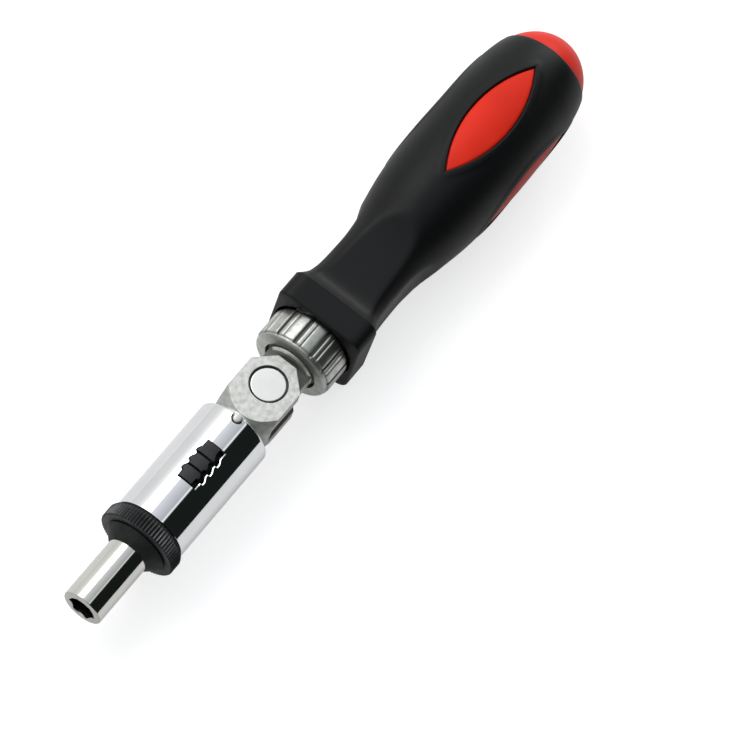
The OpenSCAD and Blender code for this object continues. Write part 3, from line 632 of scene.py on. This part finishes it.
def button_outline(half, end, tooth, gap):
    """The button's outline: three saw teeth a side, steep towards the tip."""
    edge = [(-end, half)]
    for i in (-1, 0, 1):
        for share, up, side in TOOTH_CORNERS:
            edge.append(((i + share) * TOOTH_PITCH + side * gap, half + up * tooth))
    edge.append((end, half))
    edge += [(x, -y) for x, y in reversed(edge)]
    return [(BUTTON_X + x, y) for x, y in edge]


def grown(outline, by):
    """The outline moved outwards by a distance, corner by corner."""
    points = [Vector(p) for p in outline]
    out = []
    for i, p in enumerate(points):
        a = (p - points[i - 1]).normalized()
        b = (points[(i + 1) % len(points)] - p).normalized()
        out.append(p + Vector((-a.y - b.y, a.x + b.x)) * by / (1 + a.dot(b)))
    return out


def flared(outline, wide, low, high):
    """A cutter with upright walls that open by a width between two radii.

    Each ring of corners is raised from the one below. An extrude keeps the face that it
    started from, so the faces inside the cutter are deleted.
    """
    bm = bmesh.new()
    wider = grown(outline, wide)
    face = bm.faces.new([bm.verts.new((x, y, CUT_FLOOR)) for x, y in outline])
    for ring, radius in ((outline, low), (wider, high), (wider, None)):
        raised = bmesh.ops.extrude_face_region(bm, geom=[face])["geom"]
        if ring is wider:
            bmesh.ops.delete(bm, geom=[face], context="FACES_ONLY")
        face = next(f for f in raised if isinstance(f, bmesh.types.BMFace))
        for v in face.verts:
            i = min(range(len(outline)), key=lambda k: min(
                (v.co.xy - Vector(outline[k])).length, (v.co.xy - wider[k]).length))
            x, y = ring[i]
            v.co = (x, y, math.sqrt(radius**2 - y**2) if radius else CUT_TOP)
    bmesh.ops.recalc_face_normals(bm, faces=bm.faces)
    return bm


# %% [markdown]
# The tube itself is turned. The cutter is swung about the tool's axis before it cuts the window,
# and a plain round one cuts the notch.

# %% Barrel
OPENING_HALF, OPENING_END, OPENING_TOOTH, OPENING_GAP = 2.47, 5.66, 0.6, 0.08
BROKEN_WIDTH, BROKEN_DEPTH, NOTCH_R = 0.26, 0.15, 1.6
tube = turned([
    (BARREL_X + 0.01, BORE_R), (BARREL_X, BARREL_R, 0.3), (BARREL_END_X, BARREL_R, 1.1),
    (BARREL_END_X, BORE_R, 0.15), (BARREL_X + 0.01, BORE_R)], steps=256)
opening = button_outline(OPENING_HALF, OPENING_END, OPENING_TOOTH, OPENING_GAP)
window = flared(opening, BROKEN_WIDTH, BARREL_R - BROKEN_DEPTH, BARREL_R + 0.01)
swing = Matrix.Rotation(math.radians(BUTTON_TURN), 3, "X")
bmesh.ops.rotate(window, verts=window.verts, matrix=swing)
tube = carve(tube, window)
tube = carve(tube, prism(disc_outline(KEY_X, NOTCH_R, 48), CUT_FLOOR, CUT_TOP))


def barrel_painted_shade(place, centre, normal):
    """Painted shade: the bore and the window's walls take the dark tone."""
    return 1.0 if math.hypot(centre.y, centre.z) < 9.1 and centre.x < 57 else 0.0


done(tube, "chrome_barrel", chrome, "head", "chrome", "barrel", spin_r=BARREL_R,
     painted_shade_and_wear=barrel_painted_shade)

# %% [markdown]
# ## Thumb button
# Three pads in one moulding, parted by two deep grooves, a little proud of the barrel. Its top
# follows the barrel's curve, because it turns about the same axis.

# %% Thumb button
PAD_R, PAD_BASE_R, PAD_TOOTH = 9.72, 8.02, 0.55
PARTING_HALF, PARTING_FLOOR = 0.32, 8.7
pads = prism(button_outline(BUTTON_HALF, BUTTON_LEN / 2, PAD_TOOTH, 0.0), CUT_FLOOR, CUT_TOP,
             ease=0.12)
sleeve = turned([(30, PAD_BASE_R), (30, PAD_R), (53, PAD_R), (53, PAD_BASE_R), (30, PAD_BASE_R)],
                steps=192)
pads = carve(pads, sleeve, "INTERSECT")
for side in (-1, 1):
    middle = BUTTON_X + side * BUTTON_LEN / 6
    parting = box_outline(middle - PARTING_HALF, middle + PARTING_HALF, 4)
    pads = carve(pads, prism(parting, PARTING_FLOOR, CUT_TOP))
ease_edges(pads, 0.14, degrees=40, segments=3,
           keep=lambda e: e.verts[0].co.z > PARTING_FLOOR - 0.1)


def pads_painted_shade(place, centre, normal):
    """Painted shade: walls and grooves take the dark tone."""
    return 1.0 if math.hypot(centre.y, centre.z) < 9.45 else 0.0


done(pads, "thumb_pads", nylon, "selector", "black_plastic", "selector_button",
     painted_shade_and_wear=pads_painted_shade)

# %% [markdown]
# ## Hinge block
# The joint's block is die-cast: two ears with half-octagon ends, and a foot that is turned to a
# blunt cone where it meets the barrel. The flat faces end in an arc on that cone.

# %% Hinge block
HALF_W, HALF_T, GAP_HALF, GAP_REACH = 7.25, 7.0, 3.0, 7.4
FOOT_X, FOOT_R, BLOCK_R = 57.9, 6.9, 10.08
EAR_X, EAR_END_X, EAR_END_HALF = PIVOT_X + 2.75, PIVOT_X + 7.4, 2.6
SPIGOT_X, SPIGOT_END_X, SPIGOT_R, SPIGOT_BORE = 50.55, 57.95, 7.98, 4.45
OVERRUN = 9
foot = turned([
    (FOOT_X, 0), (FOOT_X, FOOT_R), (PIVOT_X - 10.3, FOOT_R), (PIVOT_X - 8.7, 8.3),
    (PIVOT_X - 5.8, BLOCK_R), (EAR_END_X, BLOCK_R), (EAR_END_X, 0)], steps=192)
plate = prism([(50, -HALF_W), (EAR_X, -HALF_W), (EAR_END_X, -EAR_END_HALF),
               (EAR_END_X, EAR_END_HALF), (EAR_X, HALF_W), (50, HALF_W)], -HALF_T, HALF_T)
block = carve(foot, plate, "INTERSECT")
gap = box_outline(PIVOT_X - GAP_REACH, PIVOT_X + OVERRUN, OVERRUN)
block = carve(block, prism(gap, -GAP_HALF, GAP_HALF))
for side in (-1, 1):
    low, high = sorted((side * WELL_FLOOR, side * OVERRUN))
    block = carve(block, prism(disc_outline(PIVOT_X, WELL_R, 96), low, high))
block = carve(block, prism(disc_outline(PIVOT_X, PIN_R), -8, 8))
ease_edges(block, 0.2, degrees=24, segments=3)
spigot = turned([
    (SPIGOT_X, SPIGOT_BORE), (SPIGOT_X, SPIGOT_R, 0.3), (57.5, SPIGOT_R, 0.2),
    (SPIGOT_END_X, 6.85), (SPIGOT_END_X, SPIGOT_BORE), (SPIGOT_X, SPIGOT_BORE)], steps=96)


def hinge_painted_shade(place, centre, normal):
    """Painted shade: the pin's well and the slot are dark, and the coned foot's sides a little.
    """
    in_well = math.hypot(centre.x - PIVOT_X, centre.y) < WELL_R + 0.1
    if in_well and abs(centre.z) < HALF_T - 0.05:
        return 1.0
    if centre.x < PIVOT_X - 5 and abs(normal.z) < 0.97:
        return 0.35
    return 0.9 if abs(centre.z) < GAP_HALF + 0.1 else 0.0


done(join(block, spigot), "hinge_ears", zinc, "head", "zinc", "hinge_block",
     painted_shade_and_wear=hinge_painted_shade)

# %% [markdown]
# ## Cross pin and key
# The pin's round face stands just below the ear's face, in a slightly wider well that reads as a
# dark ring; the pin's sides carry painted shade. The small domed key sits in the barrel's notch,
# its foot in painted shade.

# %% Cross pin and key
HEAD_R, HEAD_FACE = 4.25, 6.7
KEY_R, KEY_FOOT, KEY_TOP = 1.29, 5.3, 9.43
pin = turned([
    (-HEAD_FACE, 0), (-HEAD_FACE, HEAD_R, 0.25), (-WELL_FLOOR, HEAD_R, 0.05),
    (-WELL_FLOOR, PIN_R), (WELL_FLOOR, PIN_R), (WELL_FLOOR, HEAD_R, 0.05),
    (HEAD_FACE, HEAD_R, 0.25), (HEAD_FACE, 0)], steps=96)
# The pin's sides take the dark tone as painted shade.
done(upright(pin, PIVOT_X), "cross_pin", bright, "head", "zinc", "pivot_pin", "pivot_cap",
     painted_shade_and_wear=lambda place, centre, normal: 1.0 if abs(normal.z) < 0.3 else 0.0)
key = turned([(KEY_FOOT, 0), (KEY_FOOT, KEY_R), (8.9, KEY_R, 0.3), (9.3, 0.95, 0.35),
              (KEY_TOP, 0)], steps=48)
# The key's foot, down in the notch, takes the dark tone as painted shade.
done(upright(key, KEY_X), "rim_key", zinc, "head", "zinc", "barrel_key",
     painted_shade_and_wear=lambda place, centre, normal: 1.0 if centre.z < 8.7 else 0.0)

# %% [markdown]
# ## Shank
# The shank is a zinc plated steel rod with a tongue that fits between the ears. Only its front
# shows, as a bright broken rim round a shallow dish, which is painted dark as shade. Further back
# it is bored for the lock's bolt, slotted for the bolt's cross pin and thinned to a tang.

# %% Shank
DISH_X, SHANK_R, RING_SEAT_R, TANG_X, TANG_R, TANG_END_X = 79.25, 6.3, 5.8, 97.1, 4.5, 143.1
TONGUE_HALF, TONGUE_R, TONGUE_T, TONGUE_END_X = 6.0, 6.3, 2.5, 79.6
BOLT_R, BOLT_END_X, TRAVEL_X0, TRAVEL_X1, TRAVEL_HALF = 1.6, 87.8, 81.8, 87.1, 0.95
DOWEL_X, DOWEL_R = 119.55, 1.5
shank = turned([
    (DISH_X, 0), (DISH_X, 3.7, 0.15), (78.75, 4.2, 0.15), (78.65, 5.75, 0.1),
    (79.2, SHANK_R, 0.15), (80.1, SHANK_R), (80.1, RING_SEAT_R), (80.9, RING_SEAT_R),
    (80.9, SHANK_R), (TANG_X, SHANK_R, 0.1), (TANG_X, TANG_R), (TANG_END_X, TANG_R, 0.5),
    (TANG_END_X, 0)], steps=128)
nose = [math.radians(degrees) for degrees in range(20, 161, 5)]
tongue = prism([(TONGUE_END_X, TONGUE_HALF), (PIVOT_X, TONGUE_HALF)] + [
    (PIVOT_X - TONGUE_R * math.sin(a), TONGUE_R * math.cos(a)) for a in nose] + [
    (PIVOT_X, -TONGUE_HALF), (TONGUE_END_X, -TONGUE_HALF)], -TONGUE_T, TONGUE_T)
shank = carve(shank, tongue, "UNION")
shank = carve(shank, prism(disc_outline(PIVOT_X, PIN_R + 0.05), -5, 5))
shank = carve(shank, turned([(64, 0), (64, BOLT_R), (BOLT_END_X, BOLT_R), (BOLT_END_X, 0)],
                            steps=48))
shank = carve(shank, prism(box_outline(TRAVEL_X0, TRAVEL_X1, TRAVEL_HALF), -8, 8))
shank = carve(shank, prism(disc_outline(DOWEL_X, DOWEL_R, 48), -8, 8))


def shank_painted_shade(place, centre, normal):
    """Painted shade: the dish and all that lies behind the rim are dark, the rest a little."""
    return 1.0 if centre.x > 79.3 or math.hypot(centre.y, centre.z) < 4.1 else 0.1


done(shank, "tongued_shank", zinc, "handle", "zinc", "shank", painted_shade_and_wear=shank_painted_shade)

# %% [markdown]
# ## Ribbed collar
# The collar is pulled back to free the joint. Its ribs come in pairs, with a deep groove between
# pairs, painted dark as shade, and a fine line inside each pair. The ribs start behind a plain
# front ring and are rounded off there. The collar is turned first, and its wall is then pushed in
# at the grooves, as the table of shares of a pair's width and depths says.

# %% Ribbed collar
PAIRS = 13
PAIR_PROFILE = [
    (0.0, 0.75), (0.03, 0.74), (0.052, 0.64), (0.068, 0.38), (0.086, 0.15), (0.11, 0.04),
    (0.15, 0.0), (0.22, 0.0), (0.29, 0.0), (0.312, 0.04), (0.326, 0.12), (0.34, 0.17),
    (0.354, 0.12), (0.368, 0.04), (0.39, 0.0), (0.5, 0.0), (0.62, 0.0), (0.74, 0.0),
    (0.85, 0.0), (0.89, 0.04), (0.914, 0.15), (0.932, 0.38), (0.948, 0.64), (0.97, 0.74),
]
columns = len(PAIR_PROFILE)
RIB_X = COLLAR_X + 0.95
COLLAR_BORE, MOUTH_X, MOUTH_R, CUP_X, CUP_R = 6.36, COLLAR_X + 2.0, 7.2, COLLAR_X + 5.6, 8.1
collar = turned([
    (MOUTH_X, COLLAR_BORE), (MOUTH_X, MOUTH_R), (COLLAR_X, MOUTH_R, 0.15),
    (COLLAR_X, 9.2), (COLLAR_X + 0.06, 9.6), (COLLAR_X + 0.22, 9.9), (COLLAR_X + 0.5, 10.12),
    (RIB_X, 10.2), (RIB_X + 0.12, 10.24), (RIB_X + 0.28, 10.38), (RIB_X + 0.5, 10.5),
    (RIB_X + 0.8, COLLAR_R), (COLLAR_X + 3.0, COLLAR_R), (COLLAR_X + 5.5, COLLAR_R),
    (COLLAR_X + 8.0, COLLAR_R), (COLLAR_X + 8.6, 10.4), (COLLAR_END_X, 9.95),
    (COLLAR_END_X, CUP_R), (CUP_X, CUP_R), (CUP_X, COLLAR_BORE), (MOUTH_X, COLLAR_BORE)],
    steps=PAIRS * columns)
first = math.radians(-7.4)
for v in collar.verts:
    r = math.hypot(v.co.y, v.co.z)
    if r < CUP_R + 0.4:
        continue
    step = round(math.atan2(-v.co.y, v.co.z) / (2 * math.pi) * PAIRS * columns)
    pair, column = divmod(step, columns)
    share, depth = PAIR_PROFILE[column]
    a = first + (pair + share) / PAIRS * 2 * math.pi
    r -= depth * clamped((v.co.x - RIB_X + 0.05) / 0.35)
    v.co.y, v.co.z = -r * math.sin(a), r * math.cos(a)


def collar_painted_shade(place, centre, normal):
    """Painted shade: groove floors and the front ring are dark, the ring's face most at the top.
    """
    r = math.hypot(place.y, place.z)
    if centre.x < RIB_X + 0.02:
        shade = clamped((place.z - 2.0) / 6.0)
        return 0.15 + 0.6 * shade if normal.x < -0.6 else 0.3
    return clamped((COLLAR_R - 0.02 - r) / 0.35)


done(collar, "ribbed_collar", cast, "collar", "zinc", "lock_collar", sharp=50,
     painted_shade_and_wear=collar_painted_shade, weigh=False)

# %% [markdown]
# ## Handle shapes
# The grip's skin is described by a few curves along X: the radius it would have if it were only
# turned, the height of the four thumb flats, and the lens-shaped windows. One function gives the
# skin's radius at any place, and both the grip and the core are made from it.

# %% Handle shapes
TURNED = [
    (0, 15.3), (1.7, 13.9), (3.5, 12.9), (6.1, 12.2), (9.5, 11.75), (13.5, 11.5), (17.5, 11.42),
    (21.5, 11.46), (24.5, 11.62), (27, 11.88), (30.3, 12.4), (33.2, 12.93), (36.7, 13.49),
    (41, 13.98), (45.2, 14.32), (49.5, 14.6), (53.9, 14.82), (58, 14.9), (62.5, 14.88),
    (66, 14.8), (70, 14.62), (73.5, 14.38), (77, 14.08), (80.1, 13.75), (84.5, 12.98),
    (87.4, 12.1), (91.5, 10.2)]
FLATS = [
    (0, 11.85), (0.9, 11.25), (1.9, 10.65), (2.9, 10.2), (4, 9.92), (5.5, 9.7), (7.5, 9.54),
    (9.5, 9.44), (12, 9.39), (14.5, 9.37), (17.5, 9.45), (20.5, 9.72), (23.5, 10.2),
    (25.5, 10.85), (27.5, 11.7), (29.5, 12.7), (31.5, 13.8), (34.5, 16.0), (105, 40.0)]
FLARE_HALF, FLARE_CORNER = 11.9, 3.0
FLARE_BLEND, BLEND_CORNER, CREST_SHARPNESS = 3.5, 1.5, 90


def along(table, x):
    """A smooth curve through a table of (distance behind the crease, value) points."""
    x -= CREASE_X
    i = max(0, min(len(table) - 2, sum(1 for p in table if p[0] <= x) - 1))
    (x0, a), (x1, b) = table[i], table[i + 1]
    before = table[max(i - 1, 0)]
    after = table[min(i + 2, len(table) - 1)]
    slope0 = (b - before[1]) / (x1 - before[0])
    slope1 = (after[1] - a) / (after[0] - x0)
    w, t = x1 - x0, (x - x0) / (x1 - x0)
    return (a * (2 * t**3 - 3 * t**2 + 1) + slope0 * w * (t**3 - 2 * t**2 + t)
            + b * (3 * t**2 - 2 * t**3) + slope1 * w * (t**3 - t**2))


def square_radius(half, corner, a):
    """Radius of a square with rounded corners, at an angle from the middle of a side."""
    a = abs((a + math.pi / 4) % (math.pi / 2) - math.pi / 4)
    side = half - corner
    if math.tan(a) <= side / half:
        return half / math.cos(a)
    lean = math.cos(a) + math.sin(a)
    skew = math.cos(a) - math.sin(a)
    return side * lean + math.sqrt(max(0, corner**2 - (side * skew) ** 2))


ARC_R = (((WINDOW_X1 - WINDOW_X0) / 2) ** 2 + WINDOW_HALF**2) / (2 * WINDOW_HALF)
WINDOW_MID = (WINDOW_X0 + WINDOW_X1) / 2


def window_half(x):
    """Half the width of the lens at a place along the handle."""
    if not WINDOW_X0 < x < WINDOW_X1:
        return 0.0
    return math.sqrt(ARC_R**2 - (x - WINDOW_MID) ** 2) - (ARC_R - WINDOW_HALF)


def window_distance(x, y):
    """Distance from the lens outline, positive outside it."""
    x, y = abs(x - WINDOW_MID), abs(y)
    shift, tip = ARC_R - WINDOW_HALF, (WINDOW_X1 - WINDOW_X0) / 2
    if (x - tip) * shift > y * tip:
        return math.hypot(x - tip, y)
    return math.hypot(x, y + shift) - ARC_R


def skin_radius(x, a):
    """The grip's radius at x and at an angle from the middle of a flat.

    The smaller of the turned and the flat radius counts, and a high power rounds their crest.
    Behind the crease the square front blends into that over a few millimetres.
    """
    a = abs((a + math.pi / 4) % (math.pi / 2) - math.pi / 4)
    if x <= CREASE_X:
        return square_radius(FLARE_HALF, FLARE_CORNER, a)
    round_r = along(TURNED, x)
    flat_r = along(FLATS, x) / math.cos(a)
    power = -CREST_SHARPNESS
    soft = (round_r**power + flat_r**power) ** (1 / power)
    blend = min(1, (x - CREASE_X) / FLARE_BLEND)
    if blend < 1:
        corner = FLARE_CORNER * (1 - blend) + BLEND_CORNER * blend
        soft = square_radius(along(FLATS, x), corner, a) * (1 - blend) + soft * blend
    return soft


print("grip width over the flats in mm:", round(2 * skin_radius(106.6, 0), 2))

# %% [markdown]
# ## Soft grip
# The grip is a shell with a square front, four thumb flats and four lens windows. One eighth of
# it is a grid whose first column follows the window's edge. That grid is mirrored, turned round
# the handle and merged, and the window's walls are bridged. So the windows are true openings
# with clean edges, which a boolean cut could not give on this curved skin. The rows of the grid
# run from the recess in front, over the skin and round the rim, and back along the inside.

# %% Soft grip
RECESS_R, RECESS_X, INNER_R, BORE_FRONT_R = 10.85, HANDLE_X + 3.9, 11.9, 9.2
BORDER_HEIGHT, EASED, BORDER_END, BORDER_FALL = 0.15, 0.35, 1.2, 1.1
LIP_X0, LIP_X1 = 131, 181


def lip(distance):
    """How far the skin stands out near a window: an eased edge and a faint raised border."""
    if distance < EASED:
        return BORDER_HEIGHT - 2 * BORDER_HEIGHT * (1 - distance / EASED) ** 2
    if distance < BORDER_END:
        return BORDER_HEIGHT
    fall = max(0, 1 - (distance - BORDER_END) / BORDER_FALL)
    return BORDER_HEIGHT * fall * fall * (3 - 2 * fall)


def spaced(start, stop, step):
    """Places from start to just before stop, a step apart."""
    return [start + i * step for i in range(math.ceil((stop - start) / step))]


shares = [0, 0.012, 0.03, 0.055, 0.085, 0.12, 0.16, 0.2, 0.25, 0.31, 0.38, 0.46, 0.54, 0.62,
          0.7, 0.78, 0.86, 0.93, 1.0]
rows = [("in", RECESS_X, BORE_FRONT_R), ("in", RECESS_X, RECESS_R),
        ("in", HANDLE_X + 2, RECESS_R), ("in", HANDLE_X + 0.25, RECESS_R),
        ("in", HANDLE_X, RECESS_R + 0.15), ("front", HANDLE_X, 0.55),
        ("front", HANDLE_X + 0.06, 0.28), ("front", HANDLE_X + 0.25, 0.1),
        ("front", HANDLE_X + 0.55, 0.0)]
places = [CREASE_X + offset for offset in (
    -5.9, -4.9, -3.7, -2.5, -1.3, -0.5, -0.2, 0, 0.15, 0.35, 0.7, 1.2, 1.8, 2.5, 3.2, 4, 4.9, 6,
    7.2, 8.5, 10, 11.5, 13, 14.5, 15.8)]
places += spaced(CREASE_X + 16.9, WINDOW_X0 - 0.6, 0.85)
places += [WINDOW_X0 + offset for offset in (-0.5, 0, 0.25, 0.6)]
places += spaced(WINDOW_X0 + 1.2, WINDOW_X1 - 1.0, 0.95)
places += [WINDOW_X1 + offset for offset in (-0.6, -0.25, 0, 0.5)]
places += [RIM_X - offset for offset in (6.4, 5.5, 4.6, 3.7, 2.8, 1.9, 1.1, 0.5)]
rows += [("skin", x, 0) for x in places]
rows += [("rim", RIM_X - 0.18, 0.08), ("rim", RIM_X - 0.02, 0.25), ("rim", RIM_X, 0.5),
         ("in", RIM_X, 10.9), ("in", 178.6, 11.4), ("in", WINDOW_X1, INNER_R),
         ("in", 160, INNER_R), ("in", 150, INNER_R), ("in", WINDOW_X0, INNER_R),
         ("in", 132.6, 11.2), ("in", 124.6, 9.6), ("in", 112.6, 7.6), ("in", 99.6, 7.6),
         ("in", 97.1, BORE_FRONT_R), ("in", RECESS_X, BORE_FRONT_R)]


def edge_angle(x, kind, r_in):
    """The angle at which a row starts: at the window's edge, or at the middle of a flat."""
    half = window_half(x)
    r = r_in if kind == "in" else skin_radius(x, 0)
    return math.asin(half / r) if half > 0 else 0.0


eighth = bmesh.new()
bmesh.ops.create_grid(eighth, x_segments=len(rows) - 1, y_segments=len(shares) - 1, size=1)
for v in eighth.verts:
    kind, x, value = rows[round((v.co.x + 1) / 2 * (len(rows) - 1))]
    start = edge_angle(x, kind, value)
    a = start + (math.pi / 4 - start) * shares[round((v.co.y + 1) / 2 * (len(shares) - 1))]
    if kind == "in":
        r = value
    elif kind == "front":
        r = square_radius(FLARE_HALF - value, FLARE_CORNER - value * 0.4, a)
    else:
        r = skin_radius(x, a) - value
        if LIP_X0 < x < LIP_X1:
            arc = (a - math.asin(min(1, window_half(x) / r))) * r + window_half(x)
            r += lip(max(0, window_distance(x, arc)))
    v.co = (x, r * math.sin(a), r * math.cos(a))
bmesh.ops.mirror(eighth, geom=whole(eighth), matrix=Matrix.Identity(4), merge_dist=1e-4,
                 axis="Y")
bmesh.ops.spin(eighth, geom=whole(eighth), cent=(0, 0, 0), axis=(1, 0, 0),
               angle=1.5 * math.pi, steps=3, use_duplicate=True)
bmesh.ops.remove_doubles(eighth, verts=eighth.verts, dist=1e-4)
open_edges = [e for e in eighth.edges if len(e.link_faces) == 1]
print("open edges at the windows:", len(open_edges))
for quarter in range(4):
    a = quarter * math.pi / 2
    middle = Vector((0, math.sin(a), math.cos(a)))
    loop = [e for e in open_edges
            if ((e.verts[0].co + e.verts[1].co) / 2).dot(middle) > 8]
    bmesh.ops.bridge_loops(eighth, edges=loop)
done(eighth, "soft_grip", rubber, "handle", "black_rubber", "grip", sharp=40, weigh=False)

# %% [markdown]
# ## Red core
# The core is one moulding under the soft grip. It shows as four lens-shaped islands, a little
# below the skin, and as the domed end of the handle. The body and the dome are turned, and
# each island is a small grid with the skin's own curve, raised from the body.

# %% Red core
DOME_R, DOME_DEPTH, DOME_EASE = 13.1, 15.0, 0.3
NECK_X, CORE_NECK_R, CORE_R = 97.1, 7.5, 11.1
BELOW_SKIN, ISLAND_EASE, ISLAND_EDGE, ISLAND_FOOT_R = 0.33, 0.3, 0.5, 10.9
dome = []
for i in range(25):
    a = math.radians(90 * i / 24)
    x = RIM_X - DOME_EASE + (END_X - RIM_X + DOME_EASE) * math.sin(a)
    reach = min(1.0, (x - (END_X - DOME_DEPTH)) / DOME_DEPTH)
    dome.append((x, max(0.0, DOME_R * math.sqrt(1 - reach**2) - DOME_EASE * math.cos(a))))
dome[-1] = (END_X, 0.0)
core = turned([
    (NECK_X, 0), (NECK_X, CORE_NECK_R), (119.5, CORE_NECK_R), (131.6, CORE_R), (178, CORE_R),
    (RIM_X - 1.0, 10.8), (RIM_X - 0.8, dome[0][1] - 0.4)] + dome, steps=160)
parts = [core]
for quarter in range(4):
    island = bmesh.new()
    bmesh.ops.create_grid(island, x_segments=56, y_segments=16, size=1)
    for v in island.verts:
        x = WINDOW_MID + (WINDOW_X1 - WINDOW_MID - 0.02) * math.sin(v.co.x * math.pi / 2)
        skin = skin_radius(x, 0)
        half = math.asin(max(0, window_half(x) - 0.04) / skin)
        spread = math.sin(v.co.y * math.pi / 2)
        edge = abs(window_distance(x, skin * math.sin(half * spread)))
        r = skin - BELOW_SKIN - ISLAND_EASE * max(0, 1 - edge / ISLAND_EDGE) ** 2
        v.co = (x, r * math.sin(half * spread), r * math.cos(half * spread))
    bmesh.ops.remove_doubles(island, verts=island.verts, dist=1e-3)
    walls = bmesh.ops.extrude_face_region(island, geom=island.faces[:])["geom"]
    for v in walls:
        if isinstance(v, bmesh.types.BMVert):
            scale = ISLAND_FOOT_R / math.hypot(v.co.y, v.co.z)
            v.co.y *= scale
            v.co.z *= scale
    bmesh.ops.rotate(island, verts=island.verts,
                     matrix=Matrix.Rotation(quarter * math.pi / 2, 3, "X"))
    bmesh.ops.recalc_face_normals(island, faces=island.faces)
    parts.append(island)
done(join(*parts), "red_core", red, "handle", "red_plastic", "handle_core", sharp=40,
     weigh=False)
